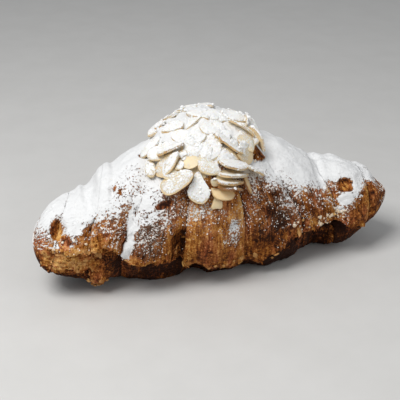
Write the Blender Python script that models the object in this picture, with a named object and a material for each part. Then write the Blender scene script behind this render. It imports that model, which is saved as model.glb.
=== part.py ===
"""Almond croissant: a rolled, layered pastry with a mound of sliced almonds baked onto its crown.

The pastry is one roll. A long triangle of dough is wound round a spine that runs along X, so on each side
of the middle the edge of the dough shows as a spiral of rims, each lying over the next one out. The roll
was cut through level and closed again, so the upper half's lower edge stands out as a ledge.
A place on the roll is given by x along the spine and by the winding angle, counted in degrees
from the crown (0) over the front (90), under the base (180) and up the back (270).
Lengths are in metres, +Z is up, the front faces -Y, and the origin is the middle of the base.
"""

import math
import random
from typing import NamedTuple

import bmesh
import bpy
from mathutils import Matrix, Vector, noise

MM = 0.001
LEFT = -1
RIGHT = 1

# The roll
HALF_LENGTH = 84 * MM
CROWN_HEIGHT = 66 * MM
CROWN_DEPTH = 76 * MM
CROWN_AT = -4 * MM  # the highest point is this far from the middle
HORN_HEIGHT = {LEFT: 39.5 * MM, RIGHT: 42.5 * MM}
HORN_DEPTH = {LEFT: 46 * MM, RIGHT: 42 * MM}
HORN_LIFT = {LEFT: 2.5 * MM, RIGHT: 0.5 * MM}
TIP_RISE = {LEFT: 3 * MM, RIGHT: 5 * MM}
HORN_START = {LEFT: 0.74, RIGHT: 0.68}  # share of the half length where a horn starts to round off
HORN_CLOSING = {LEFT: (2.0, 0.5), RIGHT: (1.65, 0.68)}  # powers: a blunt left tip, a pointed right one
TAPER_LENGTH = {LEFT: 0.72, RIGHT: 0.7}  # share of the half length over which the roll thins
TAPER_POWER = {LEFT: 1.5, RIGHT: 1.2}
SPINE_HEIGHT = 0.46  # share of a section's height at which it is widest
SPINE_BACK = 2.2 * MM  # puts the middle of the whole on the origin
SWAY = {LEFT: 17.5 * MM, RIGHT: 9 * MM}  # the left horn comes forward by this, the right one goes back
BOW = -8 * MM  # both horns lie forward by this, where it is negative
BASE_SINK = 9.5 * MM  # how far the round section is pressed flat into its base
SINK_RISE = (0.2, 0.9)  # shares of fullness between which the pressing sets in
RELIEF_AT_TIPS = 1.6  # how soon the relief is at full depth inwards from a tip

# The rolled edges: how far out the dough's edge lies each time it crosses the crown, then the front
EDGE_CROSSINGS = {
    LEFT: [6 * MM, 17.5 * MM, 24 * MM, 45 * MM, 52 * MM, 59 * MM, 68 * MM, 75 * MM, 82 * MM],
    RIGHT: [-2 * MM, 8 * MM, 13 * MM, 36.5 * MM, 46 * MM, 54 * MM, 69 * MM, 71 * MM, 80 * MM],
}
EDGE_INWARD_LIMIT = -30 * MM
EDGE_OUTWARD_LIMIT = 87 * MM
RIM_DEPTH = 3.2 * MM
RIM_DEPTH_AT_HORNS = {LEFT: 0.55, RIGHT: 0.6}  # share of the full depth
GROOVE_WIDTH = 0.42  # share of a band
GROOVE_POWER = 1.3  # above 1 for a groove that is steepest at the rim
RIM_ROUND_START = 0.84  # share of a band where its outer rim begins to round off
RIM_ROUNDING = 0.55  # share of the full depth
RIM_WANDER = 1.5 * MM
WANDER_TURN = 40  # degrees for one wave of a wandering rim, a whole number of times in a turn
WANDER_ROW = 3.0  # sets the two sides' waves apart
RIM_FADE_UNDER = 0.6  # share of the depth lost under the belly
RIM_FADE_TURN = (105, 140)  # degrees from the crown, down either face, between which it fades
RIM_UNDER_MOUND = 0.8  # share of the depth that the almond filling levels out
DEEP_RIM = (-43 * MM, 88, 9 * MM, 36, 0.9)  # x, winding angle, half width, half angle, share of extra depth

# The ledge where the upper half ends: x, the winding angle of its edge, and how far it stands out
FRONT_LEDGE = [
    (-80 * MM, 66, 1.0 * MM),
    (-66 * MM, 76, 3.0 * MM),
    (-50 * MM, 82, 3.0 * MM),
    (-45 * MM, 102, 3.5 * MM),
    (-20 * MM, 110, 4.0 * MM),
    (-14 * MM, 122, 2.2 * MM),
    (14 * MM, 122, 2.2 * MM),
    (36 * MM, 104, 2.2 * MM),
    (45 * MM, 95, 3.6 * MM),
    (50 * MM, 87, 4.8 * MM),
    (57 * MM, 85, 4.8 * MM),
    (62 * MM, 94, 3.4 * MM),
    (68 * MM, 103, 1.8 * MM),
    (78 * MM, 104, 1.0 * MM),
]
BACK_LEDGE_ANGLE = 248
BACK_LEDGE_DEPTH = 2.2 * MM
LEDGE_TURN = 7  # degrees over which the ledge falls away
LEDGE_REACH = (22, 60)  # degrees under the ledge where the surface comes out again
LEDGE_RAGGED = 7  # degrees by which the edge wavers
LEDGE_WAVE = 7 * MM
FRONT_WAVE_ROW = 2.0
BACK_WAVE_ROW = 5.0

# Hollows and swellings of the crust: x, winding angle, half width, half angle, depth (below zero: stands out)
HOLLOWS = {
    "fold_left_of_middle": (-21 * MM, 101, 4.8 * MM, 22, 3.4 * MM),
    "notch_left_of_middle": (-13 * MM, 140, 6.5 * MM, 36, 4.0 * MM),
    "cavity_in_left_horn": (-72.5 * MM, 46, 4.2 * MM, 24, 3.4 * MM),
    "crack_on_left_shoulder": (-48.5 * MM, 32, 1.8 * MM, 7, 1.4 * MM),
    "low_side_of_left_step": (-58.5 * MM, -6, 4.6 * MM, 60, 2.8 * MM),
    "high_side_of_left_step": (-51.5 * MM, -4, 5 * MM, 50, -2.4 * MM),
    "dip_under_left_end": (-70 * MM, 138, 9 * MM, 34, 2.4 * MM),
    "swelling_under_left_horn": (-57 * MM, 140, 6 * MM, 30, -2.6 * MM),
    "bare_patch_on_right_horn": (60.5 * MM, 45, 4.5 * MM, 11, 1.4 * MM),
    "gap_under_right_rim": (52.5 * MM, 97, 7.5 * MM, 14, 3.4 * MM),
    "hollow_under_right_horn": (49 * MM, 134, 8 * MM, 40, 5.0 * MM),
    "swelling_at_right_foot": (29 * MM, 132, 17 * MM, 34, -3.6 * MM),
    "slope_at_right_tip": (79.5 * MM, 0, 6 * MM, 70, 2.6 * MM),
    "notch_between_right_lobes": (47.5 * MM, 6, 3.8 * MM, 52, 1.8 * MM),
}
HOLLOW_FLOOR = 0.35  # share of the way out that lies at the full depth

LUMP_LENGTH = 22 * MM
LUMP_TURN = 1.6  # lumps in a quarter turn, roughly
LUMP_HEIGHT = 1.3 * MM
PIMPLES = 3.1  # pimples along each lump
PIMPLE_HEIGHT = 0.5 * MM

# The almond mound
MOUND_HEIGHT = 3.8 * MM
MOUND_LEFT = -30 * MM
MOUND_RIGHT = 20 * MM
MOUND_FRONT = 62
MOUND_BACK = -60
MOUND_EDGE = (0.74, 1.08)  # shares of the way out over which the mound falls off
MOUND_RAGGED = 0.2
MOUND_WAVE = 9 * MM
MOUND_WAVE_TURN = 18

# A sliced almond
SLICE_LENGTH = (12.5 * MM, 17 * MM)
SLICE_WIDTH = (7.5 * MM, 10 * MM)
SLICE_THICKNESS = 1.3 * MM
SLICE_SIDES = 8
SLICE_POINT = 0.22  # how much narrower one end is than the other
SLICE_BOW = 0.7 * MM

# The loose slices, spread by a rule that fills evenly
LOOSE_SLICES = 44
SLICE_SEED = 11
SPREAD_STEP = (0.7548776662, 0.5698402910)
SPREAD_MARGIN = 1.03
LEAST_MOUND = 0.3  # no slice lies where the mound is lower than this share
FRONT_CLEAR = 45  # degrees: further down the front only the placed slices lie
SLICE_TILT = 7  # degrees, as a standard deviation
MOST_TILT = 16
SLICE_LIFT = (-0.3 * MM, 1.6 * MM)

# The mesh of the roll
RINGS = 88
SIDES = 32
POLE_CROWDING = 0.3
NORMAL_STEP = 3 * MM
NORMAL_TURN = 6


class Slice(NamedTuple):
    """Where one almond slice lies: its place on the roll, its turn about the three axes there, its size."""

    x: float
    winding: float
    heading: float
    pitch: float
    roll: float
    lift: float
    length: float
    width: float


# The slices that stand out at the edges of the mound, angles in degrees
PLACED_SLICES = {
    "broad_front_left": Slice(-20.8 * MM, 48.5, 6, 4, -18, 2.6 * MM, 17 * MM, 8.8 * MM),
    "upright_front": Slice(-12.0 * MM, 56.4, 76, -6, 0, 3.0 * MM, 14 * MM, 10 * MM),
    "broken_front": Slice(-4.8 * MM, 68.5, 85, 0, 0, 1.2 * MM, 7.5 * MM, 6.5 * MM),
    "shelf_upper": Slice(1.5 * MM, 50.5, 6, 0, -66, 3.4 * MM, 17 * MM, 9 * MM),
    "shelf_middle": Slice(0.0 * MM, 55, 2, 0, -72, 3.2 * MM, 15 * MM, 8.5 * MM),
    "shelf_lower": Slice(0.5 * MM, 59, -4, 0, -76, 3.0 * MM, 13.5 * MM, 8.5 * MM),
    "leaning_front_right": Slice(9.5 * MM, 56, -65, 0, -46, 2.0 * MM, 11 * MM, 7 * MM),
    "shelf_right": Slice(11.0 * MM, 45.5, -12, 0, -58, 2.8 * MM, 15 * MM, 7.5 * MM),
    "white_front_right": Slice(3.0 * MM, 45, 4, 0, -50, 3.2 * MM, 16 * MM, 9 * MM),
    "tan_right": Slice(11.0 * MM, 28, -60, 0, 6, 2.0 * MM, 10 * MM, 8 * MM),
    "white_right": Slice(3.0 * MM, 31.5, -42, 0, -22, 2.4 * MM, 14 * MM, 9 * MM),
    "top_right": Slice(8.5 * MM, 3.5, -9, 4, 6, 2.4 * MM, 12.5 * MM, 8.5 * MM),
    "upright_right_edge": Slice(13.2 * MM, 6, 82, 0, 72, 2.2 * MM, 10 * MM, 7 * MM),
    "narrow_left": Slice(-31.0 * MM, 30, 74, 0, 22, 1.8 * MM, 10 * MM, 5 * MM),
    "ribbed_left": Slice(-23.8 * MM, 35, 10, 6, -10, 2.4 * MM, 14 * MM, 8.5 * MM),
    "bare_middle": Slice(-13.8 * MM, 40.5, 0, 0, -14, 2.2 * MM, 9.5 * MM, 6 * MM),
    "cream_middle": Slice(-7.2 * MM, 47, -36, 0, -8, 2.4 * MM, 11 * MM, 7 * MM),
    "raised_left_edge": Slice(-30.0 * MM, 8, 20, 0, 0, 1.2 * MM, 14 * MM, 8 * MM),
    "arch_left": Slice(-22.0 * MM, 27, -5, 0, -35, 3.0 * MM, 13 * MM, 8 * MM),
    "pointing_left": Slice(-27.5 * MM, 24, -60, 0, 0, 2.6 * MM, 11 * MM, 7 * MM),
    "diagonal_upper": Slice(10.0 * MM, 16, -35, 0, -40, 2.6 * MM, 14 * MM, 7 * MM),
    "diagonal_right": Slice(16.5 * MM, 20, -50, 0, -50, 2.2 * MM, 13 * MM, 6 * MM),
    "shelf_under": Slice(-2.0 * MM, 62, -8, 0, -50, 1.8 * MM, 12 * MM, 8 * MM),
}


def smooth_step(low, high, value):
    """0 below low, 1 above high, and a smooth rise between."""
    share = min(1.0, max(0.0, (value - low) / (high - low)))
    return share * share * (3 - 2 * share)


def mix(first, second, share):
    """The value that lies this share of the way from first to second."""
    return first + (second - first) * share


def side_of(x):
    """LEFT or RIGHT of the middle."""
    return LEFT if x < 0 else RIGHT


def dome(x):
    """How far the section has closed at x: 1 along the roll, falling to 0 at the tips."""
    start = HORN_START[side_of(x)]
    onset, closing = HORN_CLOSING[side_of(x)]
    past = max(0.0, (abs(x) / HALF_LENGTH - start) / (1 - start))
    return max(0.0, 1 - past ** onset) ** closing


def taper(x):
    """1 at the crown and 0 towards the horns, nearly straight between."""
    side = side_of(x - CROWN_AT)
    share = min(1.0, abs(x - CROWN_AT) / (TAPER_LENGTH[side] * HALF_LENGTH))
    return 1 - share ** TAPER_POWER[side]


def section(x):
    """The centre of the section at x, and its half depth, its upper and its lower radius."""
    side = side_of(x)
    share = x / HALF_LENGTH
    fullness = taper(x)
    height = mix(HORN_HEIGHT[side], CROWN_HEIGHT, fullness)
    half_depth = mix(HORN_DEPTH[side], CROWN_DEPTH, fullness) / 2
    lift = HORN_LIFT[side] * (1 - fullness) + TIP_RISE[side] * (1 - dome(x))
    middle = lift + SPINE_HEIGHT * height
    back = SPINE_BACK + SWAY[side] * share + BOW * share * share
    upper = height + lift - middle
    lower = middle - lift + BASE_SINK * smooth_step(*SINK_RISE, fullness)
    return Vector((x, back, middle)), half_depth, upper, lower


def edge_at(side, wrap, winding):
    """How far out the dough's edge lies at this winding angle, after this many whole turns."""
    crossings = EDGE_CROSSINGS[side]
    if winding < 90:
        first = 2 * wrap
        share = winding / 90
    else:
        first = 2 * wrap + 1
        share = (winding - 90) / 270
    if first < 0:
        return EDGE_INWARD_LIMIT
    if first + 1 >= len(crossings):
        return EDGE_OUTWARD_LIMIT
    return mix(crossings[first], crossings[first + 1], share)


def across_band(x, winding):
    """How far across its band of dough a place lies: 0 at the inner rim, 1 at its own rim."""
    side = side_of(x)
    out = abs(x) + RIM_WANDER * noise.noise(Vector((side * WANDER_ROW, winding / WANDER_TURN, 0.0)))
    wrap = -1
    while out >= edge_at(side, wrap + 1, winding):
        wrap += 1
    inner = edge_at(side, wrap, winding)
    return (out - inner) / (edge_at(side, wrap + 1, winding) - inner)


def hollow_share(x, winding, hollow):
    """How much of a hollow's depth is reached at a place: all in its middle, none outside it."""
    along, around, half_width, half_angle, deepest = hollow
    apart = (winding - around + 180) % 360 - 180
    reach = math.hypot((x - along) / half_width, apart / half_angle)
    return deepest * (1 - smooth_step(HOLLOW_FLOOR, 1, reach))


def rim_relief(x, winding):
    """How far the surface lies below the roll's outline: a groove under each rim, and a rounded rim."""
    across = across_band(x, winding)
    groove = (1 - smooth_step(0, GROOVE_WIDTH, across)) ** GROOVE_POWER
    rounded = RIM_ROUNDING * smooth_step(RIM_ROUND_START, 1, across) ** 2
    depth = RIM_DEPTH * mix(RIM_DEPTH_AT_HORNS[side_of(x)], 1.0, taper(x))
    depth *= 1 - RIM_FADE_UNDER * smooth_step(*RIM_FADE_TURN, 180 - abs(winding - 180))
    depth *= 1 - RIM_UNDER_MOUND * mound(x, winding)
    depth *= 1 + hollow_share(x, winding, DEEP_RIM)
    return depth * (groove + rounded)


def front_ledge(x):
    """The winding angle of the front ledge's edge at x, and how far it stands out."""
    before = FRONT_LEDGE[0]
    for after in FRONT_LEDGE[1:]:
        if x < after[0]:
            break
        before = after
    share = min(1.0, max(0.0, (x - before[0]) / max(after[0] - before[0], MM)))
    return mix(before[1], after[1], share), mix(before[2], after[2], share)


def ledge_relief(x, winding):
    """How far the surface lies back under the ledge of the upper half."""
    if winding > 180:
        past = BACK_LEDGE_ANGLE - winding
        depth = BACK_LEDGE_DEPTH * dome(x)
        row = BACK_WAVE_ROW
    else:
        edge, depth = front_ledge(x)
        past = winding - edge
        row = FRONT_WAVE_ROW
    past += LEDGE_RAGGED * noise.noise(Vector((x / LEDGE_WAVE, row, 0.0)))
    return depth * smooth_step(0, LEDGE_TURN, past) * (1 - smooth_step(*LEDGE_REACH, past))


def hollow_depth(x, winding):
    """The depth of the crust's splits and notches at a place."""
    return sum(hollow_share(x, winding, hollow) for hollow in HOLLOWS.values())


def lumps(x, winding):
    """The slow unevenness of baked dough."""
    turn = math.radians(winding)
    place = Vector((x / LUMP_LENGTH, LUMP_TURN * math.sin(turn), LUMP_TURN * math.cos(turn)))
    return LUMP_HEIGHT * noise.noise(place) + PIMPLE_HEIGHT * noise.noise(place * PIMPLES)


def mound(x, winding):
    """The share of the almond mound's full height at a place on the roll."""
    around = (winding + 180) % 360 - 180
    ragged = MOUND_RAGGED * noise.noise(Vector((x / MOUND_WAVE, around / MOUND_WAVE_TURN, 0.0)))
    along = (x - (MOUND_LEFT + MOUND_RIGHT) / 2) / ((MOUND_RIGHT - MOUND_LEFT) / 2)
    over = (around - (MOUND_FRONT + MOUND_BACK) / 2) / ((MOUND_FRONT - MOUND_BACK) / 2)
    return 1 - smooth_step(*MOUND_EDGE, math.hypot(along, over) + ragged)


def on_roll(x, winding, raised):
    """The point at this place on the roll's outline, moved outwards by raised."""
    centre, half_depth, upper, lower = section(x)
    turn = math.radians(winding)
    outward = Vector((0, -math.sin(turn), math.cos(turn)))
    closed = dome(x)
    height = upper if outward.z > 0 else lower
    point = centre + Vector((0, outward.y * half_depth, outward.z * height)) * closed
    point += outward * raised * min(1.0, closed * RELIEF_AT_TIPS)
    return point


def surface(x, winding):
    """The point of the pastry's surface at x along the spine and this winding angle."""
    winding = winding % 360
    raised = lumps(x, winding) + MOUND_HEIGHT * mound(x, winding)
    raised -= rim_relief(x, winding) + ledge_relief(x, winding) + hollow_depth(x, winding)
    point = on_roll(x, winding, raised)
    point.z = max(0.0, point.z)
    return point


def mound_top(x, winding):
    """The point on the mound at this place, without the crust's rims."""
    return on_roll(x, winding, MOUND_HEIGHT * mound(x, winding))


def slice_pose(place):
    """The matrix that lays an almond slice at its place: length along X, face towards Z."""
    along = mound_top(place.x + NORMAL_STEP, place.winding) - mound_top(place.x - NORMAL_STEP, place.winding)
    around = mound_top(place.x, place.winding + NORMAL_TURN) - mound_top(place.x, place.winding - NORMAL_TURN)
    normal = around.cross(along).normalized()
    level = (along - normal * along.dot(normal)).normalized()
    frame = Matrix((level, normal.cross(level), normal)).transposed().to_4x4()
    turn = Matrix.Rotation(math.radians(place.heading), 4, "Z")
    turn = turn @ Matrix.Rotation(math.radians(-place.pitch), 4, "Y")
    turn = turn @ Matrix.Rotation(math.radians(place.roll), 4, "X")
    point = mound_top(place.x, place.winding) + normal * place.lift
    return Matrix.Translation(point) @ frame @ turn


def loose_slices():
    """The slices that cover the mound, spread evenly and turned at random."""
    draw = random.Random(SLICE_SEED)
    middle = (MOUND_LEFT + MOUND_RIGHT) / 2
    half = (MOUND_RIGHT - MOUND_LEFT) / 2 * SPREAD_MARGIN
    places = []
    step = 0
    while len(places) < LOOSE_SLICES:
        step += 1
        x = middle + half * (2 * (step * SPREAD_STEP[0] % 1) - 1)
        winding = mix(MOUND_BACK, MOUND_FRONT, step * SPREAD_STEP[1] % 1) * SPREAD_MARGIN
        if mound(x, winding) < LEAST_MOUND or winding > FRONT_CLEAR:
            continue
        tilts = [max(-MOST_TILT, min(MOST_TILT, draw.gauss(0, SLICE_TILT))) for _ in range(2)]
        places.append(Slice(
            x, winding, draw.uniform(0, 360), tilts[0], tilts[1],
            draw.uniform(*SLICE_LIFT), draw.uniform(*SLICE_LENGTH), draw.uniform(*SLICE_WIDTH),
        ))
    return places


def build_slice(name, place, material, collection):
    """One almond slice: a thin egg-shaped plate, bowed along its length."""
    shape = bmesh.new()
    bmesh.ops.create_cone(
        shape, cap_ends=True, cap_tris=False, segments=SLICE_SIDES, radius1=1, radius2=1, depth=1,
    )
    for vertex in shape.verts:
        along, across, level = vertex.co
        vertex.co.x = along * place.length / 2
        vertex.co.y = across * place.width / 2 * (1 - SLICE_POINT * along)
        vertex.co.z = level * SLICE_THICKNESS - SLICE_BOW * along * along
    bmesh.ops.transform(shape, matrix=slice_pose(place), verts=shape.verts)
    return new_object(name, shape, material, collection)


def along_spine(share):
    """x for a ring, from -1 at the left tip to 1 at the right, with rings closer at the tips."""
    crowded = math.sin(share * math.pi / 2)
    return HALF_LENGTH * mix(share, crowded, POLE_CROWDING)


def build_roll(material, collection):
    """The rolled pastry, as a ball whose rings are carried out to the surface."""
    shape = bmesh.new()
    bmesh.ops.create_uvsphere(shape, u_segments=SIDES, v_segments=RINGS, radius=1)
    for vertex in shape.verts:
        polar = math.acos(min(1.0, max(-1.0, vertex.co.z)))
        x = along_spine(2 * polar / math.pi - 1)
        winding = math.degrees(math.atan2(vertex.co.y, vertex.co.x))
        vertex.co = surface(x, winding)
    bmesh.ops.reverse_faces(shape, faces=shape.faces)
    return new_object("croissant", shape, material, collection)


def new_object(name, shape, material, collection):
    """An object of this bmesh, in this collection."""
    mesh = bpy.data.meshes.new(name)
    shape.to_mesh(mesh)
    shape.free()
    mesh.materials.append(material)
    made = bpy.data.objects.new(name, mesh)
    collection.objects.link(made)
    return made


def new_collection(name):
    """A collection in the scene."""
    collection = bpy.data.collections.new(name)
    bpy.context.scene.collection.children.link(collection)
    return collection


def join_slices(roll, slices):
    """Fuses the slices in a collection to the roll by one union, and removes them."""
    union = roll.modifiers.new("almonds", "BOOLEAN")
    union.operation = "UNION"
    union.operand_type = "COLLECTION"
    union.collection = slices
    union.solver = "EXACT"
    evaluated = roll.evaluated_get(bpy.context.evaluated_depsgraph_get())
    fused = bpy.data.meshes.new_from_object(evaluated)
    roll.modifiers.remove(union)
    roll.data = fused
    for almond in list(slices.objects):
        bpy.data.objects.remove(almond)
    bpy.data.collections.remove(slices)


def skin_from(start):
    """All the faces that can be reached from this one across edges that join just two faces."""
    reached = {start}
    ahead = [start]
    while ahead:
        for edge in ahead.pop().edges:
            if len(edge.link_faces) > 2:
                continue
            for face in edge.link_faces:
                if face not in reached:
                    reached.add(face)
                    ahead.append(face)
    return reached


def keep_outer_skin(thing):
    """Fills sealed hollows and drops loose scraps: only the largest connected skin stays."""
    shape = bmesh.new()
    shape.from_mesh(thing.data)
    bmesh.ops.triangulate(shape, faces=shape.faces)
    left = set(shape.faces)
    largest = set()
    while left:
        skin = skin_from(next(iter(left)))
        left -= skin
        if len(skin) > len(largest):
            largest = skin
    bmesh.ops.delete(shape, geom=[face for face in shape.faces if face not in largest], context="FACES")
    shape.to_mesh(thing.data)
    shape.free()


def plain_material(name, colour, roughness):
    """A Principled material of one colour."""
    material = bpy.data.materials.new(name)
    material.use_nodes = True
    shader = material.node_tree.nodes["Principled BSDF"]
    shader.inputs["Base Color"].default_value = (*colour, 1)
    shader.inputs["Roughness"].default_value = roughness
    shader.inputs["Metallic"].default_value = 0
    return material


def main():
    """Builds the croissant."""
    for thing in list(bpy.data.objects):
        bpy.data.objects.remove(thing)
    crust = plain_material("baked_crust", (0.35, 0.16, 0.06), 0.55)
    pastry = new_collection("almond_croissant")
    slices = new_collection("almond_slices")
    roll = build_roll(crust, pastry)
    for name, place in PLACED_SLICES.items():
        build_slice(name, place, crust, slices)
    for number, place in enumerate(loose_slices()):
        build_slice(f"loose_{number:02d}", place, crust, slices)
    join_slices(roll, slices)
    keep_outer_skin(roll)


main()
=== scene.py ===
"""Looks of an almond croissant: its baked crust, almonds, icing sugar, crumbs and a plain studio.

The crust, the almonds and the sugar stand for the one solid of the pastry and keep its form. A
place on the roll is given by x along the spine and by the winding angle in degrees: 0 at the crown,
90 at the front, 180 under the base and 270 up the back. Lengths are in metres, +Z is up and the
front faces -Y.
"""

import logging
import math
import random
from dataclasses import dataclass, field
from enum import Enum
from functools import reduce
from typing import Callable, NamedTuple

import bmesh
import bpy
import numpy as np
from mathutils import Matrix, Vector, noise
from mathutils.bvhtree import BVHTree


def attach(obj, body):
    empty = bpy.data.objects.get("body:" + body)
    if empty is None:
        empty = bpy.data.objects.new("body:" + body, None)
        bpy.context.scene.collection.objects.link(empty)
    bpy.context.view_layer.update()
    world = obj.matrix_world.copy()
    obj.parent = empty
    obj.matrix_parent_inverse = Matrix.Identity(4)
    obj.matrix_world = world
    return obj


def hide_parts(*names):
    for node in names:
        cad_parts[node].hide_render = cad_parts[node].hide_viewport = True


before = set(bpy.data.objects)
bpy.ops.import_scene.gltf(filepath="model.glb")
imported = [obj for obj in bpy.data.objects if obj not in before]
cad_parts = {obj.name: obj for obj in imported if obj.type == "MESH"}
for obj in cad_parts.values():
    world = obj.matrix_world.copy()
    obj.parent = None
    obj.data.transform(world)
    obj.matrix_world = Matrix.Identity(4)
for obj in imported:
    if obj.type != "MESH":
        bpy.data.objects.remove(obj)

log = logging.getLogger("almond_croissant")

MM = 0.001
NODE = "croissant"
BODY = "root"
Colour = tuple[float, float, float]
Stops = tuple[tuple[float, Colour], ...]
Range = tuple[float, float]
Point = tuple[float, float, float]
Socket = bpy.types.NodeSocket
Spot = tuple[Vector, Vector]


def millimetres(*lengths: float) -> tuple[float, ...]:
    """These lengths, given in millimetres, in metres."""
    return tuple(length * MM for length in lengths)


def smooth_step(low: float, high: float, value: float) -> float:
    """0 below low, 1 above high, and a smooth rise between."""
    share = min(1.0, max(0.0, (value - low) / (high - low)))
    return share * share * (3 - 2 * share)


def mix(first: float, second: float, share: float) -> float:
    """The value that lies this share of the way from first to second."""
    return first + (second - first) * share


def from_middle(value: float, low: float, high: float) -> float:
    """Where a value lies between two ends: 0 in their middle, -1 at low and 1 at high."""
    return (value - (low + high) / 2) / ((high - low) / 2)


def noise_at(x: float, y: float, z: float = 0.0) -> float:
    """Smooth noise at this point, around 0."""
    return noise.noise(Vector((x, y, z)))


def axes_on(normal: Vector, along: Vector) -> Matrix:
    """The axes of a thing on a surface: Z along the normal, X as near to along as that allows."""
    level = (along - normal * along.dot(normal)).normalized()
    return Matrix((level, normal.cross(level), normal)).transposed().to_4x4()


def turn_apart(first: float, second: float) -> float:
    """The angle in degrees from second to first, between -180 and 180."""
    return (first - second + 180) % 360 - 180


class Patch(NamedTuple):
    """An oval or squarish place on the roll, and how strongly something is changed there."""

    x: float
    winding: float
    half_width: float
    half_angle: float
    amount: float
    squareness: float = 2

    def share(self, x: float, winding: float, floor: float = 0.35) -> float:
        """How much of the patch is felt at a place: 1 in its middle, 0 outside."""
        along = abs(x - self.x) / self.half_width
        around = abs(turn_apart(winding, self.winding)) / self.half_angle
        if along >= 1 or around >= 1:
            return 0.0
        reach = (along ** self.squareness + around ** self.squareness) ** (1 / self.squareness)
        return 1 - smooth_step(floor, 1, reach)


def patches(*rows: tuple[float, ...], unit: float = 1.0) -> tuple[Patch, ...]:
    """Makes patches from rows of numbers.

    Args:
        rows: The x, winding, half_width, half_angle, amount and, where given, squareness of each
            patch, with x and half_width in millimetres.
        unit: What the amounts are counted in.

    Returns:
        The patches, with their lengths in metres.
    """
    return tuple(
        Patch(x * MM, winding, half_width * MM, half_angle, amount * unit, *squareness)
        for x, winding, half_width, half_angle, amount, *squareness in rows
    )


def felt(places: tuple[Patch, ...], x: float, winding: float, floor: float = 0.35) -> float:
    """What all these patches together change at a place."""
    return sum(patch.amount * patch.share(x, winding, floor) for patch in places)


@dataclass(frozen=True)
class Horn:
    """The sizes of one half of the roll, from the middle to its tip."""

    sign: int
    height: float
    depth: float
    lift: float
    tip_rise: float
    rounding_start: float
    rounding_powers: Range
    taper_length: float
    taper_power: float
    sway: float
    rim_share: float
    crossings: tuple[float, ...]


LEFT_HORN = Horn(
    sign=-1, height=39.5 * MM, depth=46 * MM, lift=2.5 * MM, tip_rise=3 * MM, rounding_start=0.74,
    rounding_powers=(2.0, 0.5), taper_length=0.72, taper_power=1.5, sway=17.5 * MM, rim_share=0.55,
    crossings=millimetres(6, 17.5, 24, 45, 52, 59, 68, 75, 82),
)
RIGHT_HORN = Horn(
    sign=1, height=42.5 * MM, depth=42 * MM, lift=0.5 * MM, tip_rise=5 * MM, rounding_start=0.68,
    rounding_powers=(1.65, 0.68), taper_length=0.7, taper_power=1.2, sway=9 * MM, rim_share=0.6,
    crossings=millimetres(-2, 8, 13, 36.5, 46, 54, 69, 71, 80),
)


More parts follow.
